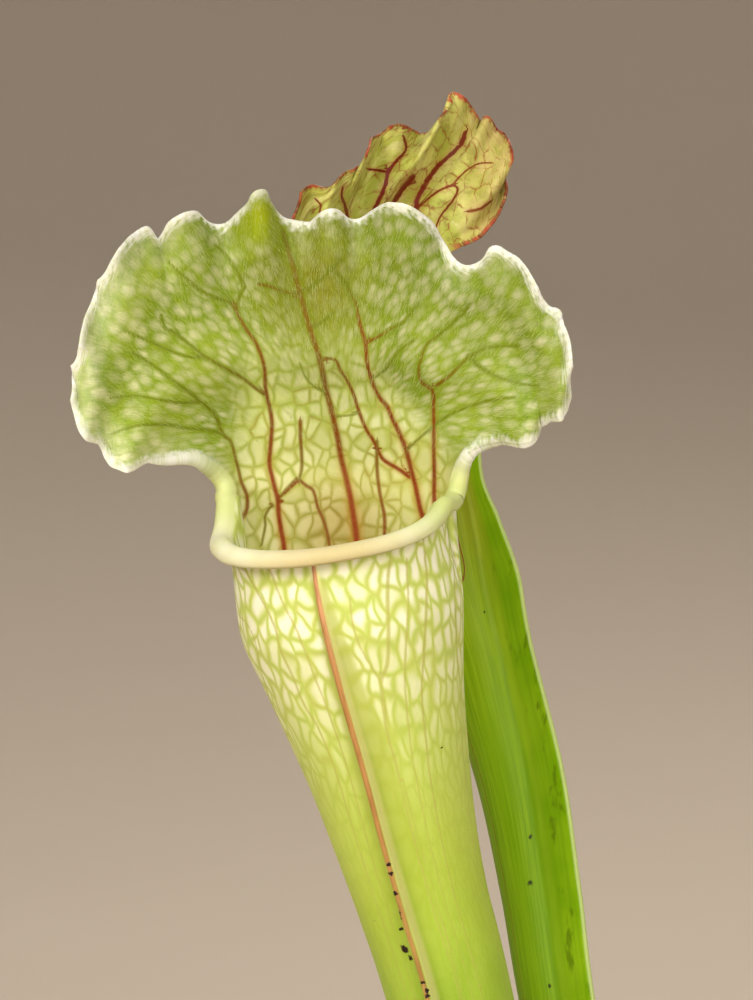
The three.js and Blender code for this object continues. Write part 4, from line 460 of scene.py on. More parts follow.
REAR = {
    "wall": 0.8,
    "hood_wall": 0.7,
    "rim_wall": 0.3,
    "lip_radius": 0.65,
    "lip_turn": 190,
    "cavity_z": 180.0,
    "stations": [[4.2, 4.4, 88.3, 2.3, 0.2, 50], [4.0, 4.8, 92, 2.4, 0.5, 50], [2.4, 6.4, 101, 2.5, 1.6, 50], [-1.0, 8.9, 120, 2.5, 3.4, 50], [-6.3, 12.4, 150, 2.6, 4.2, 50], [-10.6, 15.0, 172.9, 2.8, 4.5, 50], [-12.5, 17.5, 185.2, 3.0, 4.8, 50], [-15.0, 20.0, 199.0, 3.5, 4.95, 50], [-18.9, 23.0, 214.0, 4.4, 4.2, 50], [-21.2, 24.6, 222.0, 5.05, 4.75, 49], [-23.1, 26.1, 229.6, 5.75, 3.1, 48], [-24.3, 27.1, 234.6, 6.2, 1.95, 47], [-25.7, 28.2, 240.4, 6.8, 2.3, 46], [-27.6, 30.0, 249.6, 7.6, 1.6, 44]],
    "front": [[-36.5, 27.8, 261.65], [-35.66, 26.6, 261.18], [-34.62, 25.57, 260.7], [-33.42, 24.73, 260.24], [-32.09, 24.11, 259.81], [-30.68, 23.73, 259.42], [-29.22, 23.6, 259.08], [-27.76, 23.73, 258.81], [-26.35, 24.11, 258.61], [-25.02, 24.73, 258.48], [-23.82, 25.57, 258.44], [-22.79, 26.6, 258.48], [-21.95, 27.8, 258.61], [-21.33, 29.13, 258.81], [-20.95, 30.54, 259.08], [-20.82, 32, 259.42], [-20.95, 33.46, 259.81], [-21.33, 34.87, 260.24], [-21.95, 36.2, 260.7], [-22.79, 37.4, 261.18], [-23.82, 38.43, 261.65]],
    "back": [[-36.5, 27.8, 261.65], [-37.01, 28.85, 261.71], [-37.37, 29.97, 261.77], [-37.58, 31.12, 261.83], [-37.62, 32.29, 261.89], [-37.49, 33.46, 261.93], [-37.21, 34.6, 261.97], [-36.77, 35.68, 262.01], [-36.18, 36.7, 262.03], [-35.46, 37.62, 262.05], [-34.62, 38.43, 262.05], [-33.67, 39.12, 262.05], [-32.64, 39.67, 262.03], [-31.54, 40.07, 262.01], [-30.39, 40.32, 261.97], [-29.22, 40.4, 261.93], [-28.05, 40.32, 261.89], [-26.91, 40.07, 261.83], [-25.8, 39.67, 261.77], [-24.77, 39.12, 261.71], [-23.82, 38.43, 261.65]],
    "left": [[-36.5, 27.8, 261.65], [-36.7, 27.48, 261.93], [-36.9, 27.17, 262.2], [-37.11, 26.85, 262.47], [-37.31, 26.54, 262.74], [-37.54, 26.24, 262.99], [-37.78, 25.94, 263.22], [-38.04, 25.64, 263.42], [-38.32, 25.36, 263.62], [-38.6, 25.08, 263.81], [-38.87, 24.81, 264], [-39.15, 24.55, 264.19], [-39.41, 24.3, 264.39], [-39.67, 24.06, 264.61], [-39.92, 23.83, 264.83], [-40.16, 23.62, 265.06], [-40.4, 23.41, 265.3], [-40.65, 23.22, 265.53], [-40.89, 23.04, 265.76], [-41.12, 22.87, 266], [-41.33, 22.71, 266.25], [-41.52, 22.56, 266.52], [-41.69, 22.42, 266.81], [-41.85, 22.29, 267.1], [-42.01, 22.17, 267.39], [-42.16, 22.06, 267.69], [-42.26, 21.95, 268], [-42.29, 21.86, 268.32], [-42.29, 21.76, 268.65], [-42.27, 21.67, 268.98], [-42.24, 21.59, 269.31], [-42.22, 21.51, 269.65], [-42.2, 21.42, 269.98]],
    "top": [[-42.2, 21.42, 269.98], [-42.08, 21.58, 270.35], [-41.96, 21.51, 270.71], [-41.83, 21.53, 271.08], [-41.72, 21.79, 271.44], [-41.61, 22.11, 271.81], [-41.5, 22.22, 272.18], [-41.39, 21.95, 272.54], [-41.29, 21.46, 272.91], [-41.23, 21.13, 273.29], [-41.19, 21.37, 273.67], [-41, 22.36, 273.98], [-40.75, 23.73, 274.27], [-40.42, 25.04, 274.42], [-40.06, 25.93, 274.53], [-39.7, 26.42, 274.55], [-39.33, 26.8, 274.44], [-38.97, 27.28, 274.33], [-38.6, 27.84, 274.23], [-38.22, 28.21, 274.29], [-37.83, 28.08, 274.33], [-37.47, 27.49, 274.45], [-37.16, 26.78, 274.69], [-36.86, 26.47, 274.93], [-36.61, 26.77, 275.22], [-36.38, 27.62, 275.54], [-36.1, 28.67, 275.82], [-35.81, 29.55, 276.08], [-35.46, 30.19, 276.22], [-35.08, 30.77, 276.29], [-34.71, 31.47, 276.39], [-34.38, 32.32, 276.61], [-34.05, 33.09, 276.83], [-33.73, 33.41, 277.06], [-33.52, 33.03, 277.39], [-33.31, 32.21, 277.71], [-33.1, 31.39, 278.02], [-32.96, 30.95, 278.37], [-32.81, 31.07, 278.74], [-32.67, 31.55, 279.11], [-32.55, 32.01, 279.49], [-32.48, 32.3, 279.88], [-32.4, 32.55, 280.27], [-32.3, 33.03, 280.65], [-31.96, 34.06, 280.88], [-31.62, 35.29, 281.11], [-31.28, 36.3, 281.33], [-30.93, 36.73, 281.54], [-30.62, 36.47, 281.77], [-30.35, 35.81, 282.03], [-30.05, 35.26, 282.26], [-29.67, 35.13, 282.39], [-29.3, 35.34, 282.52], [-28.92, 35.63, 282.63], [-28.54, 35.81, 282.54], [-28.15, 35.91, 282.45], [-27.78, 36.21, 282.33], [-27.43, 36.97, 282.16], [-27.08, 38.23, 282], [-26.7, 39.66, 281.88], [-26.31, 40.79, 281.77], [-25.93, 41.3, 281.65], [-25.54, 41.27, 281.67], [-25.15, 41.02, 281.71], [-24.78, 40.88, 281.82], [-24.53, 40.74, 282.12], [-24.28, 40.7, 282.42], [-24.02, 40.52, 282.72], [-23.76, 40.12, 283], [-23.51, 39.74, 283.29], [-23.24, 39.73, 283.59], [-22.95, 40.31, 283.89], [-22.65, 41.31, 284.2], [-22.35, 42.32, 284.51], [-22.13, 42.88, 284.87], [-21.93, 42.93, 285.22], [-21.82, 42.64, 285.56], [-21.99, 42.23, 285.91], [-22.15, 42.14, 286.27], [-21.96, 42.44, 286.56], [-21.63, 42.66, 286.79], [-21.24, 42.51, 286.68], [-20.86, 42.04, 286.57], [-20.51, 41.61, 286.4], [-20.21, 41.58, 286.15], [-19.89, 42.09, 285.91], [-19.63, 42.86, 285.62], [-19.39, 43.53, 285.32], [-19.16, 43.87, 284.99], [-18.93, 43.94, 284.66], [-18.7, 44.03, 284.33], [-18.47, 44.36, 284.01], [-18.23, 44.9, 283.7], [-18, 45.33, 283.38], [-17.78, 45.32, 283.34], [-17.57, 44.81, 283.66], [-17.35, 44.06, 283.95], [-16.96, 43.64, 283.93], [-16.64, 43.66, 283.79], [-16.4, 44.05, 283.47], [-16.16, 44.59, 283.15], [-15.95, 44.95, 282.82], [-15.75, 45.08, 282.47], [-15.48, 45.24, 282.19], [-15.12, 45.74, 282], [-14.74, 46.58, 281.83], [-14.48, 47.41, 281.53], [-14.28, 47.88, 281.18], [-14.14, 47.75, 280.81], [-14.05, 47.05, 280.4], [-13.96, 46.12, 279.99], [-13.88, 45.45, 279.59], [-13.85, 45.14, 279.19], [-13.82, 45.08, 278.78], [-13.79, 44.99, 278.38], [-13.78, 44.69, 277.98], [-13.91, 44.25, 277.59], [-14.03, 44.07, 277.2], [-14.14, 44.38, 276.82], [-14.27, 45.02, 276.46], [-14.43, 45.62, 276.12], [-14.61, 45.76, 275.76], [-14.61, 45.45, 275.37], [-14.55, 44.78, 274.96], [-14.5, 44.08, 274.56], [-14.49, 43.59, 274.16], [-14.58, 43.25, 273.77], [-14.67, 42.89, 273.37], [-14.77, 42.3, 272.97]],
    "right": [[-23.82, 38.43, 261.65], [-23.66, 38.46, 262.11], [-23.49, 38.48, 262.57], [-23.32, 38.51, 263.02], [-23.16, 38.54, 263.48], [-23.07, 38.57, 263.96], [-22.99, 38.6, 264.44], [-22.91, 38.65, 264.92], [-22.78, 38.69, 265.38], [-22.63, 38.75, 265.85], [-22.47, 38.81, 266.31], [-22.24, 38.88, 266.68], [-21.77, 38.96, 266.81], [-21.3, 39.05, 266.94], [-20.82, 39.15, 267.07], [-20.35, 39.25, 267.2], [-19.88, 39.37, 267.35], [-19.44, 39.49, 267.55], [-18.99, 39.63, 267.74], [-18.55, 39.77, 267.97], [-18.12, 39.93, 268.21], [-17.74, 40.09, 268.5], [-17.41, 40.26, 268.87], [-17.09, 40.44, 269.24], [-16.76, 40.63, 269.61], [-16.44, 40.82, 269.98], [-16.11, 41.02, 270.35], [-15.85, 41.23, 270.76], [-15.58, 41.44, 271.18], [-15.35, 41.65, 271.61], [-15.16, 41.86, 272.06], [-14.96, 42.08, 272.52], [-14.77, 42.3, 272.97]],
}
YOUNG = {
    "wall": 0.8,
    "hood_wall": 0.7,
    "rim_wall": 0.3,
    "lip_radius": 0.6,
    "lip_turn": 190,
    "cavity_z": 112.0,
    "stations": [[10.4, -2.6, 88.3, 2.2, 0.2, 55], [10.8, -2.9, 92, 2.3, 0.5, 55], [14.4, -5.0, 101, 2.8, 1.4, 55], [20.6, -8.6, 114, 3.8, 2.2, 55], [27.0, -12.4, 130, 5.3, 1.9, 55], [31.2, -14.8, 143, 6.9, 1.0, 55]],
    "mouth": [[32.6, -15.7, 149.5], 7.4, 55, 13.5, 19, 8],
}
POT = {"height": 95, "topRadius": 55, "wallTopRadius": 52.4, "baseRadius": 40, "wall": 1.6, "bandHeight": 13, "footHeight": 3, "holes": 8, "holeRadius": 4.2, "holeCentreRadius": 31}
SOIL = {"top": 85.5, "mound": 2.2, "radius": 50.2}
RHIZOME = {"centre": [-2, 0.5, 84.6], "half": [21, 10, 7], "turn": 8}
BLADES = {
 "phyllode_left": {
  "turn": 70,
  "stations": [
   [
    -8.6,
    3.4,
    88.3,
    1.9,
    1.3
   ],
   [
    -9.2,
    3.6,
    93,
    2.4,
    1.1
   ],
   [
    -14.5,
    6.5,
    104,
    4.2,
    0.8
   ],
   [
    -22.5,
    11.0,
    122,
    5.6,
    0.6
   ],
   [
    -29.5,
    15.0,
    142,
    4.9,
    0.5
   ],
   [
    -33.0,
    17.2,
    158,
    2.8,
    0.42
   ],
   [
    -34.0,
    18.0,
    166,
    0.9,
    0.35
   ]
  ]
 },
 "phyllode_right": {
  "turn": -20,
  "stations": [
   [
    13.6,
    3.6,
    88.3,
    1.7,
    1.2
   ],
   [
    14.2,
    4.0,
    93,
    2.2,
    1.0
   ],
   [
    19.0,
    8.0,
    103,
    3.7,
    0.75
   ],
   [
    27.0,
    14.5,
    118,
    4.9,
    0.6
   ],
   [
    34.5,
    20.5,
    132,
    4.0,
    0.5
   ],
   [
    39.0,
    24.0,
    142,
    2.0,
    0.42
   ],
   [
    40.6,
    25.2,
    147,
    0.8,
    0.35
   ]
  ]
 },
 "old_leaf_base_left": {
  "turn": 20,
  "stations": [
   [
    -14.6,
    -2.4,
    87.1,
    2.2,
    1.7
   ],
   [
    -14.9,
    -2.5,
    91.4,
    2.3,
    1.6
   ],
   [
    -16.6,
    -3.4,
    96,
    2.5,
    1.3
   ],
   [
    -19.4,
    -5.0,
    101.5,
    2.7,
    0.8
   ],
   [
    -21.0,
    -6.0,
    104,
    1.5,
    0.5
   ]
  ]
 },
 "old_leaf_base_back": {
  "turn": -35,
  "stations": [
   [
    -15.0,
    3.6,
    87.1,
    1.9,
    1.5
   ],
   [
    -15.2,
    3.8,
    91.4,
    2.0,
    1.4
   ],
   [
    -16.2,
    5.6,
    95,
    2.2,
    1.1
   ],
   [
    -17.6,
    8.2,
    99,
    2.1,
    0.7
   ],
   [
    -18.4,
    9.6,
    101,
    1.1,
    0.45
   ]
  ]
 },
 "bract_front": {
  "turn": 5,
  "stations": [
   [
    3.6,
    -4.4,
    88.3,
    1.9,
    0.75
   ],
   [
    3.9,
    -5.2,
    92,
    2.2,
    0.65
   ],
   [
    4.6,
    -7.2,
    97,
    1.7,
    0.5
   ],
   [
    5.2,
    -8.6,
    101.5,
    0.5,
    0.35
   ]
  ]
 }
}


# ------------------------------------------------------------------ materials
def srgb(r, g, b):
    c = np.array([r, g, b]) / 255
    return tuple(float(v) for v in np.where(c <= 0.04045, c / 12.92, ((c + 0.055) / 1.055) ** 2.4)) + (1.0,)


class Mat:
    """A node material, with short names for the nodes it is made of."""

    def __init__(self, name, **sockets):
        self.m = bpy.data.materials.new(name)
        self.m.use_nodes = True
        self.t = self.m.node_tree
        self.t.nodes.clear()
        self.b = self.t.nodes.new("ShaderNodeBsdfPrincipled")
        o = self.t.nodes.new("ShaderNodeOutputMaterial")
        self.t.links.new(self.b.outputs[0], o.inputs[0])
        for k, v in sockets.items():
            self.b.inputs[k.replace("_", " ")].default_value = v
        self.made = {}

    def put(self, sock, v):
        if isinstance(v, bpy.types.NodeSocket):
            self.t.links.new(v, sock)
        elif isinstance(v, (int, float)) and hasattr(sock.default_value, "__len__"):
            sock.default_value = [v] * len(sock.default_value)
        else:
            sock.default_value = v

    def attr(self, name):
        if name not in self.made:
            n = self.t.nodes.new("ShaderNodeAttribute")
            n.attribute_name = name
            self.made[name] = n
        return self.made[name]

    def val(self, name):
        return self.attr(name).outputs["Fac"]

    def xyz(self, name):
        if name + "." not in self.made:
            n = self.t.nodes.new("ShaderNodeSeparateXYZ")
            self.t.links.new(self.attr(name).outputs["Vector"], n.inputs[0])
            self.made[name + "."] = n
        return self.made[name + "."].outputs

    def place(self):
        """Position in the object's own space, in millimetres."""
        if "place" not in self.made:
            n = self.t.nodes.new("ShaderNodeTexCoord")
            self.made["place"] = self.vop("SCALE", n.outputs["Object"], scale=1000.0)
        return self.made["place"]

    def combine(self, x, y, z=0.0):
        n = self.t.nodes.new("ShaderNodeCombineXYZ")
        for s, v in zip(n.inputs, (x, y, z)):
            self.put(s, v)
        return n.outputs[0]

    def op(self, kind, a, b=0.0, c=0.0, clamp=False):
        n = self.t.nodes.new("ShaderNodeMath")
        n.operation, n.use_clamp = kind, clamp
        for s, v in zip(n.inputs, (a, b, c)):
            self.put(s, v)
        return n.outputs[0]

    def mul(self, *v):
        out = v[0]
        for w in v[1:]:
            out = self.op("MULTIPLY", out, w)
        return out

    def add(self, *v):
        out = v[0]
        for w in v[1:]:
            out = self.op("ADD", out, w)
        return out

    def top(self, *v):
        out = v[0]
        for w in v[1:]:
            out = self.op("MAXIMUM", out, w)
        return out

    def vop(self, kind, a, b=(0, 0, 0), scale=1.0):
        n = self.t.nodes.new("ShaderNodeVectorMath")
        n.operation = kind
        self.put(n.inputs[0], a)
        if kind == "SCALE":
            self.put(n.inputs["Scale"], scale)
        else:
            self.put(n.inputs[1], b)
        return n.outputs["Value"] if kind in ("DISTANCE", "LENGTH", "DOT_PRODUCT") else n.outputs[0]

    def step(self, x, lo, hi, a=0.0, b=1.0, kind="SMOOTHSTEP"):
        n = self.t.nodes.new("ShaderNodeMapRange")
        n.interpolation_type = kind
        self.put(n.inputs["Value"], x)
        for k, v in (("From Min", lo), ("From Max", hi), ("To Min", a), ("To Max", b)):
            self.put(n.inputs[k], v)
        return n.outputs[0]

    def mix(self, f, a, b, blend="MIX"):
        n = self.t.nodes.new("ShaderNodeMix")
        n.data_type, n.blend_type = "RGBA", blend
        self.put(n.inputs[0], f)
        self.put(n.inputs[6], a)
        self.put(n.inputs[7], b)
        return n.outputs[2]

    def noise(self, v, scale, detail=2.0, rough=0.5, colour=False, dim="3D"):
        n = self.t.nodes.new("ShaderNodeTexNoise")
        n.noise_dimensions = dim
        self.put(n.inputs["Vector"], v)
        n.inputs["Scale"].default_value, n.inputs["Detail"].default_value, n.inputs["Roughness"].default_value = scale, detail, rough
        return n.outputs["Color" if colour else 0]

    def cells(self, v, edge=True, dim="2D", rand=1.0):
        n = self.t.nodes.new("ShaderNodeTexVoronoi")
        n.voronoi_dimensions = dim
        n.feature = "DISTANCE_TO_EDGE" if edge else "F1"
        n.inputs["Scale"].default_value = 1.0
        n.inputs["Randomness"].default_value = rand
        self.put(n.inputs["Vector"], v)
        return n.outputs["Distance"] if edge else n.outputs["Color"]

    def warp(self, v, scale, amount, detail=1.5, dim="3D"):
        """v pushed about by up to half of amount."""
        shift = self.vop("SCALE", self.vop("SUBTRACT", self.noise(v, scale, detail, colour=True, dim=dim), (0.5, 0.5, 0.5)), scale=amount)
        return self.vop("ADD", v, shift)

    def spots(self, v, rand=1.0):
        """Distance to the nearest cell centre, and that cell's random colour."""
        n = self.t.nodes.new("ShaderNodeTexVoronoi")
        n.voronoi_dimensions, n.feature = "2D", "F1"
        n.inputs["Scale"].default_value, n.inputs["Randomness"].default_value = 1.0, rand
        self.put(n.inputs["Vector"], v)
        return n.outputs["Distance"], n.outputs["Color"]

    def specks(self, table, scale, amount):
        """Distance to the nearest of some points, over that point's radius."""
        at = self.warp(self.place(), scale, amount)
        out = None
        for p, r in table:
            d = self.mul(self.vop("DISTANCE", at, tuple(float(v) for v in p)), 1 / r)
            out = d if out is None else self.op("MINIMUM", out, d)
        return out

    def bump(self, height, strength, distance_mm):
        n = self.t.nodes.new("ShaderNodeBump")
        n.inputs["Strength"].default_value = strength
        n.inputs["Distance"].default_value = distance_mm * MM
        self.put(n.inputs["Height"], height)
        self.t.links.new(n.outputs[0], self.b.inputs["Normal"])

    def colour(self, c):
        self.put(self.b.inputs["Base Color"], c)

    def rough(self, r):
        self.put(self.b.inputs["Roughness"], r)


def leaf_sockets(weight=0.3, depth=1.2, **more):
    d = dict(
        Roughness=0.45, IOR=1.42, Subsurface_Weight=weight, Subsurface_Radius=(0.8, 1.0, 0.3), Subsurface_Scale=depth * MM, Specular_IOR_Level=0.4
    )
    d.update(more)
    return d


def front_material():
    m = Mat("pitcher_front_skin", **leaf_sockets(0.18, 1.0, Roughness=0.46, Specular_IOR_Level=0.3))
    U, V, behind = m.xyz("leaf")
    vn, vu, vt = m.xyz("vein")
    hv, edge, lat = m.xyz("zone")
    lip, inside, calm = m.xyz("zone2")
    keel, apex, olive = m.xyz("zone3")
    flat_x, flat_y, shade = m.xyz("flat")
    uv = m.combine(U, V)
    w = m.xyz_of(m.warp(uv, 0.3, 1.9, 0.0, "2D"))
    wf = m.xyz_of(m.warp(m.attr("flat").outputs["Vector"], 0.34, 1.5, 0.0, "2D"))
    fan_a, fan_r, column = m.xyz("fan")
    wr = m.xyz_of(m.warp(m.attr("fan").outputs["Vector"], 0.34, 0.9, 1.0, "2D"))
    nap = m.noise(m.combine(m.mul(fan_a, 6.5), m.mul(fan_r, 1.1)), 1.0, 2.0, 0.6, dim="2D")
    broad = m.noise(uv, 0.09, 2.0, dim="2D")
    fine = m.noise(uv, 2.2, 3.0, 0.6, dim="2D")
    dust = m.noise(m.place(), 5.0, 2.0, 0.6)

    def windows(at, cell_u, cell_v, shift, hard, soft, round0, round1, rand=0.85):
        """Round pale windows between veinlets: fill, distance to the veinlet, random share of each cell."""
        c = m.combine(m.mul(at[0], 1 / cell_u), m.mul(at[1], 1 / cell_v), shift)
        e = m.cells(c, rand=rand)
        dist, tint = m.spots(c, rand)
        fill = m.mul(m.step(e, hard, soft), m.step(dist, round0, round1))
        return fill, e, m.xyz_of(tint)

    # tube: cream windows between soft green veinlets
    ft, et, rt = windows(w, 2.35, 3.5, 0.0, -0.02, 0.3, 0.78, 0.26, 0.8)
    white_t = m.mul(m.step(V, -45, -12), m.step(rt[0], 0, 1, 0.6, 1.0), m.step(calm, 1, 0, 0.15, 1.0), m.step(vu, 0.5, 2.0, 0.45, 1.0))
    fill_t = m.mul(ft, m.step(white_t, 0, 1, 0.12, 1.0))
    ground_t = m.mix(m.step(V, -12, -50), srgb(206, 216, 108), srgb(182, 202, 66))
    ground_t = m.mix(m.mul(calm, 0.8), ground_t, m.mix(m.step(V, -14, -50), srgb(180, 184, 80), srgb(172, 192, 58)))
    ground_t = m.mix(m.step(broad, 0.35, 0.7, 0.0, 0.3), ground_t, m.mix(m.step(V, -14, -50), srgb(222, 232, 124), srgb(194, 212, 84)))
    window_t = m.mix(m.step(V, -40, -6), srgb(212, 224, 112), srgb(255, 252, 220))
    tube = m.mix(fill_t, ground_t, window_t)
    core_t = m.mul(m.step(et, 0.17, 0.0), m.step(V, -56, -10, 0.16, 0.34), m.step(calm, 1, 0, 0.2, 1.0))
    tube = m.mix(core_t, tube, m.mix(m.step(rt[1], 0.5, 0.9), srgb(176, 196, 76), srgb(190, 184, 92)))
    tube = m.mix(m.mul(m.step(V, -40, -75), 0.85), tube, m.mix(m.step(broad, 0.3, 0.7), srgb(124, 170, 24), srgb(148, 186, 42)))
    tube = m.mix(m.mul(m.step(V, -95, -136), 0.75), tube, srgb(150, 140, 62))

    # hood: soft white blotches between green veinlets that fan out from the column
    c = m.combine(m.mul(wr[0], 1 / 1.35), m.mul(wr[1], 1 / 1.9), 0.0)
    dist, tint = m.spots(c, 0.85)
    rh = m.xyz_of(tint)
    soft = m.mul(m.step(dist, 0.7, 0.08), m.step(rh[0], 0, 1, 0.35, 1.0), m.step(vu, 0.8, 3.2), m.step(nap, 0.25, 0.75, 0.75, 1.15))
    soft = m.mul(soft, m.step(apex, 0.7, 0.1), m.step(olive, 0.9, 0.05, 0.22, 1.0))
    green = m.mix(m.step(broad, 0.3, 0.7), srgb(126, 150, 18), srgb(146, 166, 38))
    green = m.mix(m.mul(olive, 0.95), green, srgb(132, 130, 2))
    green = m.mix(m.mul(m.step(nap, 0.4, 0.75), 0.38), green, srgb(184, 194, 82))
    green = m.mix(m.mul(m.step(nap, 0.45, 0.2), 0.25), green, srgb(112, 134, 10))
    green = m.mix(m.mul(m.step(vu, 5.5, 1.0), 0.45), green, srgb(122, 140, 12))
    hood = m.mix(m.mul(soft, 0.68), green, srgb(222, 216, 172))
    fc, ec, rc = windows(wf, 1.75, 2.3, 7.0, -0.02, 0.26, 0.85, 0.3, 0.9)
    col_ground = m.mix(m.step(V, 0, 16), srgb(202, 202, 108), srgb(194, 206, 96))
    col_fill = m.mul(fc, m.step(vu, 0.6, 2.2, 0.35, 1.0), m.step(rc[0], 0, 1, 0.5, 1.0))
    col = m.mix(col_fill, col_ground, m.mix(m.step(V, -2, 10), srgb(240, 234, 174), srgb(236, 238, 178)))
    col = m.mix(m.mul(m.step(ec, 0.12, 0.0), m.step(rc[1], 0, 1, 0.2, 0.6)), col, m.mix(m.step(rc[2], 0.35, 0.75), srgb(160, 176, 58), srgb(168, 138, 58)))
    # painted shade: where the calm channel carries the throat shade, the column darkens to olive brown
    col = m.mix(m.mul(calm, inside, 0.8), col, m.mix(col_fill, srgb(146, 118, 30), srgb(182, 158, 84)))
    hood = m.mix(column, hood, col)
    hood = m.mix(m.mul(apex, 0.95), hood, srgb(170, 182, 8))
    # painted light and shade: the hood colour is multiplied by the shade channel
    hood = m.mix(1.0, hood, m.combine(shade, shade, shade), "MULTIPLY")
    ragged = m.add(edge, m.mul(m.noise(uv, 0.7, 3.0, 0.6, dim="2D"), 1.8))
    pale = m.top(m.step(ragged, 2.0, 0.9), m.mul(m.step(ragged, 5.5, 1.4), m.step(flat_x, 26, 12), m.step(fine, 0.3, 0.7, 0.12, 0.4)))
    pale = m.mul(pale, m.step(apex, 1.0, 0.35, 0.25, 1.0))
    hood = m.mix(m.mul(pale, m.step(hv, 0.08, 0.3), 0.9), hood, m.mix(m.step(fine, 0.3, 0.7), srgb(248, 244, 236), srgb(230, 230, 204)))
    body = m.mix(m.top(m.step(V, -0.3, 0.6), m.mul(behind, inside)), tube, hood)
    backside = m.mul(m.step(V, 0, 3), m.step(inside, 1, 0))
    body = m.mix(m.mul(backside, 0.35), body, srgb(176, 196, 70))

    # main veins
    line = m.mul(m.step(m.op("ABSOLUTE", vn), 1.5, 0.25), m.step(vu, 2.7, 1.7))
    halo = m.mul(m.step(vu, 3.4, 0.7), m.step(vt, 0.5, 0.0), 0.42)
    red = m.mix(m.step(vt, 0.0, 0.35, kind="LINEAR"), srgb(148, 12, 2), srgb(136, 62, 2))
    red = m.mix(m.step(vt, 0.35, 0.7, kind="LINEAR"), red, srgb(112, 118, 10))
    front = m.mul(m.step(V, 0, -1), m.step(behind, 1, 0))
    red = m.mix(front, red, srgb(188, 176, 92))
    body = m.mix(halo, body, srgb(206, 136, 44))
    depth = m.mul(m.step(vt, 0.35, 1.0, 1.0, 0.5, kind="LINEAR"), m.step(fine, 0.1, 0.9, 0.82, 1.0))
    body = m.mix(m.mul(line, m.step(front, 0, 1, 1.0, 0.8), depth), body, red)

    # rolled lip
    cloud = m.noise(m.place(), 0.16, 2.0)
    lipc = m.mix(m.step(cloud, 0.35, 0.7), srgb(246, 243, 206), srgb(236, 234, 184))
    lipc = m.mix(m.step(flat_x, 45, 55, 0.0, 0.6), lipc, srgb(208, 218, 136))
    lipc = m.mix(m.step(flat_y, -65.0, -61.0, 0.0, 0.8), lipc, srgb(204, 212, 128))
    # painted shade with a tan tint on the lip's front underside, near the keel
    lip_underside_shade = m.step(m.vop("DISTANCE", m.place(), (-37.0, -26.0, 228.5)), 15.0, 3.0)
    lipc = m.mix(m.mul(lip_underside_shade, 0.8), lipc, srgb(208, 186, 128))
    lipc = m.mix(m.mul(m.step(dust, 0.5, 0.8), 0.2), lipc, srgb(222, 222, 150))
    body = m.mix(m.step(lip, 0.35, 0.95), body, lipc)

    # keel crest: a thin orange brown line with a pale border on its right
    off = m.op("ABSOLUTE", lat)
    reach = m.step(V, -4, -50, 0.36, 0.24)
    crest = m.mul(m.step(keel, 0.5, 0.88), m.step(off, reach, m.mul(reach, 0.5)), m.step(V, 0.1, -0.8))
    ridge = m.mix(m.step(V, -2, -22), srgb(218, 158, 112), srgb(194, 138, 80))
    ridge = m.mix(m.mul(m.step(m.op("ABSOLUTE", m.add(lat, 0.16)), 0.16, 0.0), 0.5), ridge, srgb(160, 84, 50))
    ridge = m.mix(m.step(V, -30, -55), ridge, srgb(186, 142, 78))
    patchy = m.noise(m.combine(m.mul(lat, 1.5), m.mul(V, 0.16)), 1.0, 2.0, 0.6, dim="2D")
    ridge = m.mix(m.mul(m.step(patchy, 0.42, 0.66), 0.55), ridge, srgb(150, 98, 46))
    right = m.mul(m.step(lat, 0.16, 0.3), m.step(lat, 0.95, 0.5), m.step(V, 0.0, -3.0))
    body = m.mix(m.mul(right, 0.6), body, srgb(248, 240, 160))
    body = m.mix(m.mul(crest, 0.95), body, ridge)
    specks = m.specks(SPOTS_FRONT, 1.7, 0.8)
    body = m.mix(m.step(specks, 1.0, 0.6), body, srgb(44, 24, 14))
    m.colour(body)
    m.bump(m.add(m.noise(uv, 0.9, 2.0, 0.6, dim="2D"), m.mul(line, 0.3)), 0.35, 0.16)
    m.rough(m.step(fine, 0.2, 0.8, 0.4, 0.54))
    return m.m


def xyz_of(self, v):
    n = self.t.nodes.new("ShaderNodeSeparateXYZ")
    self.put(n.inputs[0], v)
    return n.outputs


Mat.xyz_of = xyz_of


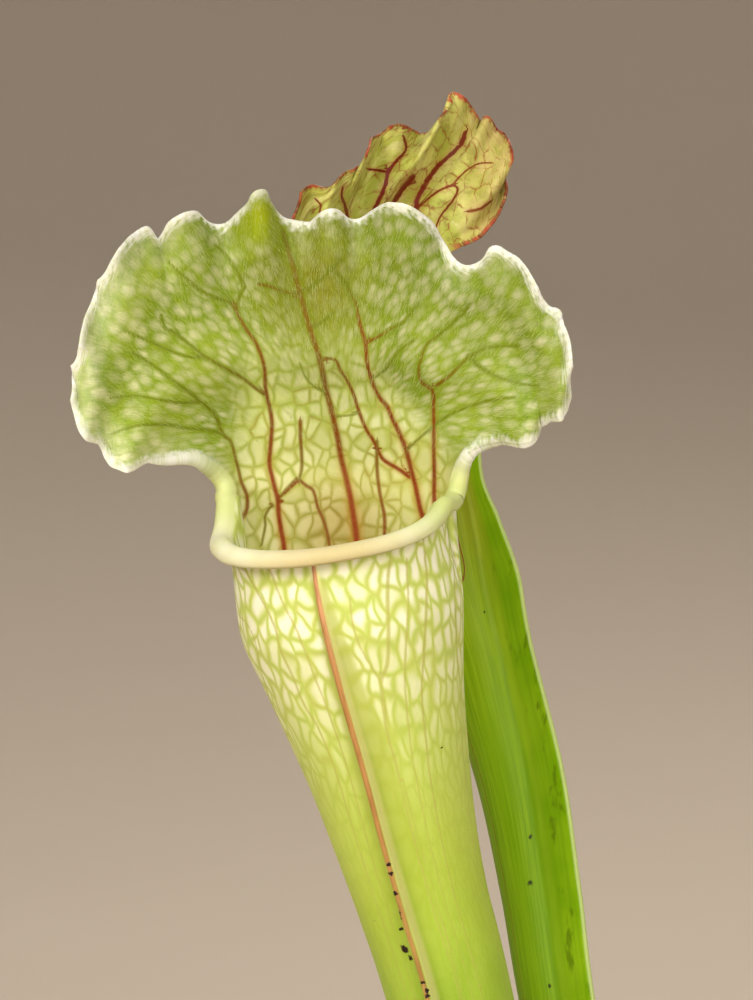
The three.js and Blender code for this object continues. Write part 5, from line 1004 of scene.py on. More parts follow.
def rear_material():
    m = Mat("pitcher_rear_skin", **leaf_sockets(0.15, 1.0, Roughness=0.44, Specular_IOR_Level=0.16))
    U, V, _ = m.xyz("leaf")
    vn, vu, vt = m.xyz("vein")
    hv, edge, lat = m.xyz("zone")
    lip, inside, calm = m.xyz("zone2")
    keel, side, _ = m.xyz("zone3")
    uv = m.combine(U, V)
    streak = m.noise(m.combine(m.mul(U, 1.6), m.mul(V, 0.05)), 1.0, 3.0, 0.6, dim="2D")
    broad = m.noise(uv, 0.07, 2.0, dim="2D")
    fine = m.noise(m.place(), 1.6, 3.0, 0.6)
    body = m.mix(m.step(streak, 0.3, 0.7), srgb(132, 156, 6), srgb(156, 176, 24))
    body = m.mix(m.mul(m.step(broad, 0.4, 0.7), 0.4), body, srgb(166, 184, 36))
    ribs = m.step(m.op("SINE", m.mul(m.add(U, m.mul(broad, 1.2)), 4.4)), 0.72, 1.0)
    body = m.mix(m.mul(ribs, 0.22), body, srgb(116, 148, 10))
    body = m.mix(m.mul(m.step(V, -26, -70), 0.75), body, m.mix(m.step(streak, 0.3, 0.7), srgb(118, 168, 4), srgb(144, 190, 24)))
    body = m.mix(m.mul(m.step(V, -46, -14), m.step(broad, 0.2, 0.6, 0.5, 0.8)), body, m.mix(m.step(streak, 0.35, 0.7), srgb(150, 128, 14), srgb(168, 162, 34)))
    wing = m.step(keel, 0.12, 0.5)
    wingc = m.mix(m.step(m.noise(m.place(), 0.12, 2.0), 0.3, 0.7), srgb(128, 176, 2), srgb(156, 196, 22))
    wingc = m.mix(m.mul(m.step(m.noise(m.combine(m.mul(keel, 9.0), m.mul(V, 0.08)), 1.0, 3.0), 0.4, 0.7), 0.4), wingc, srgb(112, 158, 2))
    body = m.mix(wing, body, wingc)
    body = m.mix(m.mul(m.step(keel, 0.06, 0.16), m.step(keel, 0.34, 0.2), 0.3), body, srgb(160, 192, 40))
    blotch = m.noise(m.combine(m.mul(m.xyz_of(m.place())[0], 0.5), m.mul(m.xyz_of(m.place())[2], 0.16)), 1.0, 3.0, 0.65, dim="2D")
    body = m.mix(m.mul(m.step(blotch, 0.56, 0.72), wing, 0.65), body, srgb(86, 112, 2))
    body = m.mix(m.mul(m.step(keel, 0.92, 0.98), m.step(V, 0, -4), 0.8), body, srgb(206, 222, 140))
    body = m.mix(m.mul(m.step(V, -110, -168), 0.7), body, srgb(140, 128, 58))
    # hood
    mottle = m.noise(uv, 0.34, 4.0, 0.7, dim="2D")
    hood = m.mix(m.step(m.noise(uv, 0.2, 3.0, dim="2D"), 0.3, 0.7), srgb(180, 184, 76), srgb(214, 208, 118))
    hood = m.mix(m.mul(m.step(mottle, 0.5, 0.66), 0.6), hood, srgb(142, 134, 44))
    hood = m.mix(m.mul(m.step(mottle, 0.42, 0.3), 0.5), hood, srgb(222, 216, 150))
    hood = m.mix(m.mul(m.step(side, 0.3, 0.9), m.step(mottle, 0.6, 0.4, 0.25, 0.8)), hood, srgb(202, 178, 112))
    wu = m.xyz_of(m.warp(uv, 0.5, 1.4, 1.0, "2D"))
    net = m.cells(m.combine(m.mul(wu[0], 0.42), m.mul(wu[1], 0.36)), rand=0.95)
    hood = m.mix(m.mul(m.step(net, 0.09, 0.01), m.step(mottle, 0.36, 0.62, 0.1, 0.75)), hood, srgb(150, 62, 34))
    hood = m.mix(m.mul(m.step(fine, 0.4, 0.8), 0.3), hood, srgb(176, 150, 84))
    hood = m.mix(m.mul(m.step(m.noise(uv, 0.55, 3.0, 0.7), 0.62, 0.72), m.step(side, 0.25, 0.8), 0.75), hood, srgb(112, 70, 44))
    body = m.mix(m.step(V, -7, 8), body, hood)
    body = m.mix(m.step(lip, 0.3, 0.9), body, srgb(196, 190, 96))
    line = m.mul(m.step(m.op("ABSOLUTE", m.add(vn, m.mul(m.step(fine, 0, 1, -0.5, 0.5), 0.8))), 1.15, 0.55), m.step(vu, 3.4, 2.2))
    red = m.mix(vt, srgb(120, 16, 12), srgb(150, 96, 40))
    body = m.mix(m.mul(m.step(vu, 3.2, 0.8), m.step(vt, 0.8, 0.0), 0.28), body, srgb(186, 96, 60))
    body = m.mix(m.mul(line, m.step(vt, 0.4, 1.0, 0.95, 0.6)), body, red)
    rim = m.mul(m.step(m.add(edge, m.mul(m.noise(uv, 1.3, 3.0, 0.7, dim="2D"), 1.3)), 1.25, 0.55), m.step(hv, 0.25, 0.5))
    body = m.mix(m.mul(rim, 0.9), body, m.mix(m.step(m.noise(uv, 0.35, 2.0, dim="2D"), 0.4, 0.62), srgb(120, 14, 26), srgb(176, 66, 52)))
    specks = m.specks(SPOTS_REAR, 1.3, 0.7)
    body = m.mix(m.mul(m.step(specks, 1.25, 0.5), 0.9), body, srgb(40, 44, 18))
    m.colour(body)
    m.bump(m.add(m.mul(streak, 0.5), m.mul(fine, 0.5), m.mul(line, 0.5)), 0.3, 0.15)
    m.rough(m.step(fine, 0.2, 0.8, 0.36, 0.52))
    return m.m


def young_material():
    m = Mat("pitcher_young_skin", **leaf_sockets(0.3, 1.2))
    U, V, _ = m.xyz("leaf")
    vn, vu, vt = m.xyz("vein")
    hv, edge, lat = m.xyz("zone")
    lip, inside, calm = m.xyz("zone2")
    keel, _, _ = m.xyz("zone3")
    uv = m.attr("leaf").outputs["Vector"]
    w = m.xyz_of(m.warp(uv, 0.5, 1.0))
    broad = m.noise(uv, 0.14, 2.0)
    fine = m.noise(uv, 2.6, 3.0)
    c = m.combine(m.mul(w[0], 1 / 1.9), m.mul(w[1], m.step(V, -1, 1, 1 / 2.7, 1 / 1.9)))
    e = m.cells(c)
    white = m.mul(m.step(e, 0.06, 0.3), m.step(V, -34, -6, 0.05, 1.0), m.step(vu, 1.0, 2.6))
    ground = m.mix(m.step(broad, 0.3, 0.7), srgb(142, 176, 54), srgb(170, 196, 74))
    body = m.mix(m.mul(white, 0.85), ground, srgb(232, 234, 170))
    body = m.mix(m.mul(m.step(e, 0.07, 0.02), m.step(V, -40, -8, 0.1, 0.5)), body, srgb(128, 158, 42))
    line = m.mul(m.step(m.op("ABSOLUTE", vn), 1.15, 0.5), m.step(vu, 3.2, 2.2))
    body = m.mix(m.mul(line, 0.8), body, m.mix(vt, srgb(164, 70, 40), srgb(150, 158, 52)))
    pale = m.mul(m.step(m.add(edge, m.mul(m.noise(uv, 0.8, 2.0), 1.0)), 1.9, 0.5), m.step(hv, 0.1, 0.3))
    body = m.mix(m.mul(pale, 0.8), body, srgb(236, 234, 208))
    body = m.mix(m.step(lip, 0.35, 0.95), body, srgb(238, 236, 168))
    body = m.mix(m.mul(m.step(keel, 0.5, 0.9), m.step(V, 0, -2)), body, srgb(206, 128, 66))
    body = m.mix(m.mul(m.step(V, -34, -62), 0.7), body, srgb(150, 120, 66))
    m.colour(body)
    m.bump(m.add(m.mul(m.step(e, 0, 0.3), 0.5), m.mul(fine, 0.4)), 0.3, 0.14)
    m.rough(m.step(fine, 0.2, 0.8, 0.38, 0.52))
    return m.m


def blade_material(name, low, high, edge_c, vein_c, dry):
    m = Mat(name, **leaf_sockets(0.2 if not dry else 0.05, 0.9, Roughness=0.45 if not dry else 0.8))
    t, z, _ = m.xyz("blade")  # angle round the section over 2 pi, share of the length
    along = m.combine(m.mul(t, 46.0), m.mul(z, 2.2))
    streak = m.noise(along, 1.0, 3.0, 0.6)
    broad = m.noise(m.place(), 0.13 if not dry else 0.4, 3.0)
    fine = m.noise(m.place(), 2.2, 3.0, 0.65)
    c = m.mix(m.step(broad, 0.3, 0.7), low, high)
    c = m.mix(m.mul(m.step(streak, 0.45, 0.7), 0.5), c, vein_c)
    flank = m.op("ABSOLUTE", m.op("COSINE", m.mul(t, 2 * math.pi)))
    c = m.mix(m.mul(m.step(flank, 0.965, 1.0), 0.8), c, edge_c)
    c = m.mix(m.mul(m.step(z, 0.86, 1.0), 0.7), c, srgb(150, 96, 50))
    c = m.mix(m.mul(m.step(z, 0.1, 0.0), 0.6), c, srgb(140, 84, 56))
    if dry:
        c = m.mix(m.mul(m.step(fine, 0.5, 0.75), 0.6), c, srgb(58, 40, 26))
    m.colour(c)
    m.bump(m.add(m.mul(streak, 1.0 if dry else 0.6), m.mul(fine, 0.5)), 0.6 if dry else 0.3, 0.3 if dry else 0.12)
    m.rough(m.step(fine, 0.2, 0.8, 0.7 if dry else 0.38, 0.95 if dry else 0.54))
    return m.m


def soil_material(name, dark, mid, pale, fleck=0.25):
    m = Mat(name, Roughness=0.95, Specular_IOR_Level=0.25)
    p = m.place()
    n = m.noise(p, 0.45, 6.0, 0.7)
    fine = m.noise(p, 3.2, 4.0, 0.7)
    fibre = m.noise(m.vop("MULTIPLY", m.warp(p, 0.3, 6.0), (0.35, 2.4, 1.6)), 1.0, 3.0, 0.65)
    c = m.mix(m.step(n, 0.35, 0.65), dark, mid)
    c = m.mix(m.mul(m.step(fine, 0.5, 0.75), 0.6), c, pale)
    c = m.mix(m.mul(m.step(fibre, 0.6, 0.72), fleck), c, srgb(128, 92, 58))
    m.colour(c)
    m.bump(m.add(n, m.mul(fine, 0.6), m.mul(fibre, 0.5)), 0.8, 0.7)
    m.rough(m.step(fine, 0.3, 0.7, 0.82, 1.0))
    return m.m


def pot_material():
    m = Mat("pot_plastic_look", Roughness=0.5, IOR=1.5, Specular_IOR_Level=0.5)
    p = m.place()
    grain = m.noise(p, 2.6, 3.0, 0.6)
    cloud = m.noise(p, 0.05, 3.0, 0.55)
    height = m.xyz_of(p)[2]
    scuff = m.noise(m.vop("MULTIPLY", p, (0.5, 0.5, 0.05)), 1.2, 4.0, 0.7)
    drip = m.noise(m.vop("MULTIPLY", p, (0.25, 0.25, 0.03)), 1.0, 2.0, 0.5)
    c = m.mix(m.step(cloud, 0.3, 0.7), srgb(48, 51, 50), srgb(60, 63, 61))
    c = m.mix(m.mul(m.step(scuff, 0.56, 0.72), 0.14), c, srgb(92, 93, 90))
    c = m.mix(m.mul(m.step(height, 93.2, 95), m.step(grain, 0.35, 0.6), 0.4), c, srgb(104, 102, 96))
    c = m.mix(m.mul(m.step(height, 9, 0), m.step(cloud, 0.3, 0.6), 0.3), c, srgb(104, 92, 76))
    c = m.mix(m.mul(m.step(drip, 0.56, 0.72), 0.05), c, srgb(132, 126, 112))
    m.colour(c)
    m.bump(m.add(m.mul(grain, 0.7), m.mul(scuff, 0.3)), 0.35, 0.12)
    m.rough(m.add(m.step(grain, 0.2, 0.8, 0.4, 0.56), m.mul(m.step(scuff, 0.55, 0.7), 0.12)))
    return m.m


def bark_material():
    m = Mat("rhizome_bark_look", Roughness=0.85, Specular_IOR_Level=0.3)
    p = m.place()
    n = m.noise(p, 0.5, 5.0, 0.7)
    fine = m.noise(p, 2.6, 4.0, 0.7)
    ring = m.step(m.op("SINE", m.add(m.mul(m.xyz_of(p)[0], 2.1), m.mul(n, 4.0))), -0.6, 0.8)
    c = m.mix(m.step(n, 0.3, 0.7), srgb(84, 52, 32), srgb(132, 88, 54))
    c = m.mix(m.mul(ring, 0.45), c, srgb(62, 38, 24))
    c = m.mix(m.mul(m.step(fine, 0.5, 0.72), 0.5), c, srgb(164, 122, 80))
    m.colour(c)
    m.bump(m.add(n, m.mul(ring, 0.5), m.mul(fine, 0.5)), 0.7, 0.5)
    m.rough(m.step(fine, 0.2, 0.8, 0.7, 0.95))
    return m.m


def plain_material(name, a, b, scale, **sockets):
    m = Mat(name, **sockets)
    n = m.noise(m.place(), scale, 3.0, 0.6)
    m.colour(m.mix(m.step(n, 0.3, 0.7), a, b))
    m.bump(n, 0.3, 0.15)
    return m.m


def paint(ob, mat):
    ob.data.materials.clear()
    ob.data.materials.append(mat)


# ------------------------------------------------------------------ vein paths
# Hood veins as (half width start, half width end, tint start, tint end, path) in picture pixels. Tint 0 is red, 0.5 olive brown, 1 green.
HOOD_VEINS = [
    (3.7, 2.7, 0.08, 0.62, [(358, 560), (357, 538), (354, 516), (350, 493), (342, 459), (338, 436), (332, 410), (327, 391), (320, 359), (310, 328), (300, 293), (294, 270), (287, 249), (282, 232)]),
    (2.9, 1.8, 0.0, 0.5, [(283, 560), (282, 545), (280, 534), (277, 516), (276, 501), (273, 488), (268, 465), (269, 449), (271, 426), (270, 411), (265, 388), (264, 368), (260, 353), (254, 340), (245, 328), (236, 311), (232, 303)]),
    (1.6, 1.2, 0.5, 0.8, [(236, 311), (237, 302), (240, 295), (244, 287)]),
    (2.6, 1.2, 0.05, 0.9, [(229, 552), (230, 540), (228, 532), (234, 524), (241, 515), (244, 509), (244, 495), (239, 484), (237, 474), (233, 457), (229, 441), (221, 434), (214, 415), (200, 401), (187, 391), (177, 384), (168, 378), (152, 365), (133, 353)]),
    (1.9, 1.1, 0.45, 0.9, [(264, 393), (254, 386), (241, 376), (220, 365), (206, 357), (195, 349), (183, 340), (173, 332), (164, 328), (160, 315)]),
    (1.6, 1.6, 0.5, 0.6, [(260, 284), (270, 286), (279, 290), (298, 294)]),
    (2.2, 1.7, 0.35, 0.55, [(300, 420), (300, 436), (301, 453), (301, 468), (298, 480)]),
    (1.8, 1.6, 0.3, 0.35, [(298, 480), (292, 485), (286, 490), (276, 499)]),
    (1.8, 1.8, 0.4, 0.4, [(298, 480), (306, 486), (313, 491), (317, 507), (323, 520), (328, 538), (330, 556)]),
    (3.0, 1.9, 0.0, 0.4, [(428, 535), (426, 518), (423, 509), (419, 491), (413, 468), (408, 449), (401, 432), (393, 416), (388, 405), (381, 397), (375, 386), (370, 372), (367, 359), (366, 343), (362, 330), (358, 315)]),
    (1.6, 1.2, 0.45, 0.8, [(358, 315), (356, 303), (350, 293), (346, 284), (336, 272)]),
    (2.2, 1.5, 0.1, 0.5, [(411, 476), (400, 468), (388, 461), (382, 455), (375, 440), (367, 428), (360, 411), (354, 393), (348, 380), (340, 368), (336, 359), (325, 357), (318, 357)]),
    (1.7, 1.0, 0.4, 0.9, [(369, 341), (383, 334), (392, 328), (404, 322), (411, 313), (419, 303)]),
    (2.4, 1.0, 0.02, 0.9, [(438, 505), (437, 490), (437, 474), (436, 443), (436, 424), (435, 409), (434, 390), (423, 381), (420, 370), (422, 359), (427, 345), (438, 336), (448, 328), (458, 318), (465, 311), (471, 303)]),
    (1.7, 0.9, 0.4, 0.95, [(438, 384), (452, 374), (461, 365), (473, 355), (485, 349), (492, 347), (520, 345)]),
    (2.0, 2.0, 0.45, 0.35, [(378, 440), (378, 461), (379, 478), (382, 497), (386, 516), (386, 534), (387, 552)]),
    (1.6, 1.3, 0.5, 0.6, [(265, 511), (263, 526), (259, 545)]),
    (1.7, 1.0, 0.6, 0.95, [(408, 449), (418, 440), (430, 430), (446, 418), (466, 408), (492, 400), (516, 398)]),
    (1.5, 0.9, 0.7, 1.0, [(470, 356), (480, 366), (496, 376), (520, 384), (540, 386)]),
    (1.5, 0.9, 0.7, 1.0, [(372, 378), (386, 368), (398, 352), (414, 340)]),
    (1.6, 0.9, 0.7, 1.0, [(221, 434), (206, 430), (186, 428), (162, 424), (136, 426), (112, 434)]),
    (1.5, 0.9, 0.7, 1.0, [(200, 401), (182, 402), (160, 400), (134, 396), (108, 398)]),
    (1.5, 0.9, 0.7, 1.0, [(206, 357), (190, 357), (172, 352), (150, 342), (124, 330)]),
    (1.5, 0.9, 0.7, 1.0, [(232, 303), (216, 298), (200, 290), (184, 276), (170, 262)]),
    (1.5, 0.9, 0.75, 1.0, [(244, 287), (238, 272), (228, 258), (214, 246)]),
    (1.5, 0.9, 0.75, 1.0, [(300, 293), (312, 286), (326, 274), (340, 258)]),
    (1.5, 0.9, 0.75, 1.0, [(310, 328), (322, 322), (334, 312)]),
    (1.4, 0.9, 0.7, 1.0, [(327, 391), (316, 386), (306, 376), (300, 362)]),
    (1.4, 1.0, 0.7, 0.95, [(360, 411), (350, 414), (338, 414)]),
]
# Veins on the tube's front, same form
TUBE_VEINS = [
    (2.4, 2.0, 0.62, 0.7, [(422, 552), (422, 560), (424, 578), (423, 616), (421, 655), (419, 693), (422, 727), (427, 770)]),
    (2.6, 2.0, 0.6, 0.75, [(388, 562), (386, 578), (386, 616), (387, 655), (384, 670), (379, 682), (383, 708), (386, 731), (395, 762)]),
    (1.6, 1.4, 0.75, 0.85, [(350, 599), (352, 624), (360, 647), (370, 664), (379, 680)]),
    (2.3, 1.9, 0.62, 0.75, [(247, 566), (258, 586), (270, 609), (279, 630), (282, 647), (296, 676), (306, 703), (321, 726), (335, 762)]),
    (1.9, 1.6, 0.75, 0.85, [(272, 568), (284, 600), (300, 632), (312, 664), (326, 700), (340, 738), (352, 776)]),
    (1.9, 1.6, 0.7, 0.85, [(447, 540), (450, 580), (452, 620), (454, 660), (456, 700), (458, 740), (462, 780)]),
    (1.8, 1.6, 0.78, 0.88, [(404, 560), (406, 600), (404, 640), (403, 680), (406, 720), (411, 760)]),
    (1.6, 1.4, 0.8, 0.9, [(462, 560), (464, 600), (466, 660), (468, 720), (470, 780)]),
    (1.6, 1.4, 0.75, 0.85, [(236, 572), (246, 600), (258, 632), (270, 664), (284, 700), (296, 736)]),
]
REAR_VEINS = [
    (2.0, 1.2, 0.0, 0.1, [(346, 218), (344, 205), (340, 195), (342, 188)]),
    (1.6, 2.4, 0.0, 0.0, [(403, 138), (405, 150), (396, 160), (388, 172), (385, 185), (378, 200), (370, 215), (362, 230)]),
    (1.4, 1.8, 0.0, 0.0, [(368, 169), (385, 172)]),
    (3.6, 3.0, 0.0, 0.0, [(412, 176), (400, 190), (392, 203), (384, 214)]),
    (4.2, 2.2, 0.0, 0.1, [(418, 218), (417, 200), (424, 185), (435, 168), (450, 155), (460, 145), (465, 132)]),
    (1.4, 1.2, 0.25, 0.2, [(420, 208), (435, 195), (452, 186), (457, 190), (452, 200), (440, 215), (436, 225)]),
    (1.0, 1.0, 0.4, 0.4, [(452, 186), (464, 172), (478, 164), (492, 164)]),
    (1.1, 1.0, 0.5, 0.5, [(413, 182), (420, 186), (426, 184)]),
    (1.2, 1.0, 0.3, 0.4, [(316, 200), (322, 206), (320, 214)]),
    (1.6, 1.2, 0.4, 0.3, [(468, 212), (480, 208), (490, 200)]),
]
REAR_TUBE_VEINS = [(1.6, 1.2, 0.45, 0.5, [(450, 512), (456, 535), (463, 560), (470, 585), (479, 607)])]


def paths(table, down=0):
    """Vein table to (points, half widths, tints), cut into short steps."""
    out = []
    for w0, w1, t0, t1, p in table:
        p = np.array(p, float)
        if down and p[0, 1] > 505:
            start = unit(p[0] - p[min(2, len(p) - 1)])
            p = np.concatenate([[p[0] + down * unit(start + np.array([0, 0.8]))], p])
        n = max(3, int(np.linalg.norm(np.diff(p, axis=0), axis=1).sum() / 5))
        q = spline(p, np.linspace(0, 1, n))
        s = np.linspace(0, 1, n)
        out.append((q, w0 + (w1 - w0) * s, t0 + (t1 - t0) * s))
    return out


def to_leaf(lines, where, uv):
    """Picture paths to leaf coordinates, from the surface points that the camera sees."""
    at = px(where)
    out = []
    for p, w, t in lines:
        d = np.hypot(at[None, :, 0] - p[:, None, 0], at[None, :, 1] - p[:, None, 1])
        near = np.argsort(d, axis=1)[:, :6]
        k = 1 / (np.take_along_axis(d, near, 1) + 0.6) ** 2
        q = (uv[near, :2] * k[..., None]).sum(1) / k.sum(1)[:, None]
        out.append((soften(q, 1.5), w * MM_PER_PX, t))
    return out


def vein_attr(geo, hood_lines, tube_lines, tube_back, bottom):
    """Signed and unsigned vein distance and tint for every point of a pitcher's middle surface."""
    pts, uv, tube_id = geo["pts"], geo["UV"], geo["tube_id"]
    nr, n = tube_id.shape
    vn, vu, vt = np.full(len(pts), 40.0), np.full(len(pts), 40.0), np.ones(len(pts))
    near_mouth = uv[tube_id[:, 0], 1] > -8.5
    hoodish = np.concatenate([np.arange(nr * n, len(pts)), tube_id[near_mouth][:, geo["back_cols"]].reshape(-1)])
    if hood_lines:
        a, b, c = nearest_line(px(pts[hoodish]), hood_lines, 90)
        vn[hoodish], vu[hoodish], vt[hoodish] = a, b, c
    front_ids = tube_id[:, geo["front_cols"]].reshape(-1)
    lines = []
    if tube_lines:
        for p, w, t in to_leaf(tube_lines, pts[front_ids], uv[front_ids]):
            v = np.arange(p[-1, 1] - 3, bottom, -3.0)
            down = np.stack([p[-1, 0] + 0.35 * np.sin((v - p[-1, 1]) / 9), v], 1)
            lines.append((np.concatenate([p, down]), np.concatenate([w, w[-1] * np.linspace(1, 0.5, len(v))]), np.concatenate([t, np.minimum(1, t[-1] + np.linspace(0.05, 0.5, len(v)))])))
    band = tube_id[near_mouth][:, geo["back_cols"]].reshape(-1)
    for p, w, t in hood_lines:
        if p[0, 1] > 505 and len(p) > 6:
            q = to_leaf([(p[:1] + 0.0, w[:1], t[:1])], pts[band], uv[band])[0][0][0]
            v = np.arange(q[1] + 1.0, bottom, -2.5)
            wob = 0.3 * np.sin((v - q[1]) / 6 + q[0])
            lines.append((np.stack([q[0] + wob - wob[0], v], 1), np.full(len(v), w[0] * MM_PER_PX) * np.linspace(1, 0.5, len(v)), np.minimum(1, t[0] + np.linspace(0, 0.8, len(v)))))
    for i, (u, w, t) in enumerate(tube_back):
        v = np.arange(1.5, bottom, -2.5)
        lines.append((np.stack([u + 0.45 * np.sin(v / 7 + i * 1.7), v], 1), np.full(len(v), w) * np.linspace(1, 0.5, len(v)), np.minimum(1, t + np.linspace(0, 0.7, len(v)))))
    tube_pts = np.concatenate([tube_id[~near_mouth].reshape(-1), tube_id[near_mouth][:, geo["front_cols"]].reshape(-1)])
    if lines:
        a, b, c = nearest_line(uv[tube_pts, :2], lines, 8)
        vn[tube_pts], vu[tube_pts], vt[tube_pts] = a, b, c
    return vn, vu, vt


def build_pitcher(name, spec, res, hood_lines, tube_lines, tube_back):
    verts, faces, attrs, geo = pitcher(spec, res)
    vn, vu, vt = vein_attr(geo, hood_lines, tube_lines, tube_back, -float(spec["stations"][-1][2] - spec["stations"][0][2]) * 1.15)
    put = geo["put"]
    attrs["vein"] = np.stack([put(vn), put(vu), put(vt)], 1)
    return verts, faces, attrs, geo


# ------------------------------------------------------------------ front pitcher
def finish_piece(ob, mat, slot, *nodes):
    paint(ob, mat)
    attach(ob, "root")
    if nodes:
        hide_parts(*nodes)


front_hood, front_tube = paths(HOOD_VEINS, 45), paths(TUBE_VEINS)
fv, ff, fa, fg = build_pitcher(
    "pitcher_front",
    dict(FRONT, calm=15, lip_left=0.2, keel_shift=0.022),
    dict(front=46, back=200, low=46, high=70, split=180.0, bridge=22, hood=90, curl=12, inner_step=6),
    front_hood,
    front_tube,
    [],
)
mid_px = px(fg["pts"])
pts, lat, V = fg["pts"], fg["lat"], fg["UV"][:, 1]
deep = np.clip(-V, 0, 45)
right_w, left_w = 1.2 + 0.075 * deep, 0.9 + 0.02 * deep
calm = np.where(lat > 0, 1 - ramp(lat / right_w, 0.6, 1.15), 1 - ramp(-lat / left_w, 0.6, 1.2)) * ramp(-V, 1.0, 5.0) * 0.92
on_hood = fg["hoodv"] > 0
apex = np.where(on_hood, np.exp(-(((mid_px[:, 0] - 262) / 24) ** 2) - ((mid_px[:, 1] - 212) / 28) ** 2), 0)
olive = np.where(on_hood, np.exp(-(((mid_px[:, 0] - 313) / 56) ** 2) - ((mid_px[:, 1] - 285) / 72) ** 2), 0)
# painted light and shade: the hood colour is made brighter towards its lower left, where the light falls, and darker
# towards its top right, which leans away from it; two painted pools of light brighten the column at its right and left
lean = (0.62 * (330 - mid_px[:, 0]) / 250 + 0.78 * (mid_px[:, 1] - 330) / 120).clip(-1.2, 1.2)
glow = lambda x, y, sx, sy: np.exp(-(((mid_px[:, 0] - x) / sx) ** 2) - ((mid_px[:, 1] - y) / sy) ** 2)
shade = 1 + (0.24 * lean - 0.04) * on_hood * ramp(V, 3, 22) + 0.14 * glow(418, 474, 28, 42) + 0.1 * glow(272, 405, 28, 60)
middle = 300 + 0.33 * (mid_px[:, 1] - 330)
reach = np.interp(mid_px[:, 1], [330, 420, 500, 545], [52, 92, 128, 150])
column = np.where(on_hood, ramp(mid_px[:, 1], 318, 405) * (1 - ramp(np.abs(mid_px[:, 0] - middle) / reach, 0.8, 1.25)), 1.0)
# painted shade: the throat behind the lip, a recess, is darkened
throat_shade = np.clip(1.15 * glow(342, 532, 52, 50), 0, 1)
put = fg["put"]
around_back = np.abs(fg["UV"][:, 0]) / (math.pi * np.abs(fg["UV"][fg["tube_id"][-1], 0]).max() / math.pi)
behind = np.where(on_hood, 1.0, (1 - ramp(around_back, 0.36, 0.46)) * ramp(V, -34, -24))
fa["leaf"][:, 2] = put(behind)
# behind the mouth the calm channel carries the painted throat shade instead of the calm zone
calm = np.where(behind > 0.5, throat_shade, calm)
# the third channel of flat carries the painted light and shade
fa["flat"] = np.stack([put(mid_px[:, 0] * MM_PER_PX), put(-mid_px[:, 1] * MM_PER_PX), put(shade)], 1)
fan_x, fan_y = (mid_px[:, 0] - 335) * MM_PER_PX, (430 - mid_px[:, 1]) * MM_PER_PX
fa["fan"] = np.stack([put(24 * np.arctan2(fan_x, fan_y)), put(np.hypot(fan_x, fan_y)), put(column)], 1)
fa["zone2"] = np.stack([fg["lip"], fg["inside"], put(calm)], 1)
fa["zone3"] = np.stack([fg["keel"], put(apex), put(olive)], 1)

crest_ids = fg["tube_id"][:, fg["kcols"][len(fg["kcols"]) // 2]]
crest_at = fg["outer"][crest_ids]


def on_crest(points, table):
    """(x, y, radius) picture spots near a keel, as points on the crest."""
    at = px(points)
    return [(points[np.argmin(np.hypot(at[:, 0] - x, at[:, 1] - y))], r) for x, y, r in table]


outer_front = fg["outer"][fg["tube_id"][:, fg["front_cols"]].reshape(-1)]
SPOTS_FRONT = on_crest(
    outer_front,
    [(388, 862, 0.3), (391, 874, 0.34), (393, 886, 0.42), (395, 894, 0.34), (398, 912, 0.45), (400, 920, 0.34), (402, 930, 0.36), (407, 941, 0.72), (406, 948, 0.6), (411, 957, 0.42), (415, 966, 0.3), (419, 974, 0.3), (424, 984, 0.32), (428, 991, 0.42), (430, 998, 0.34), (441, 748, 0.16), (374, 921, 0.14), (467, 829, 0.13), (356, 753, 0.2)],
)
pitcher_front = make_mesh("pitcher_front_leaf", fv, ff, fa)
finish_piece(pitcher_front, front_material(), "leaf_front", "pitcher_front")


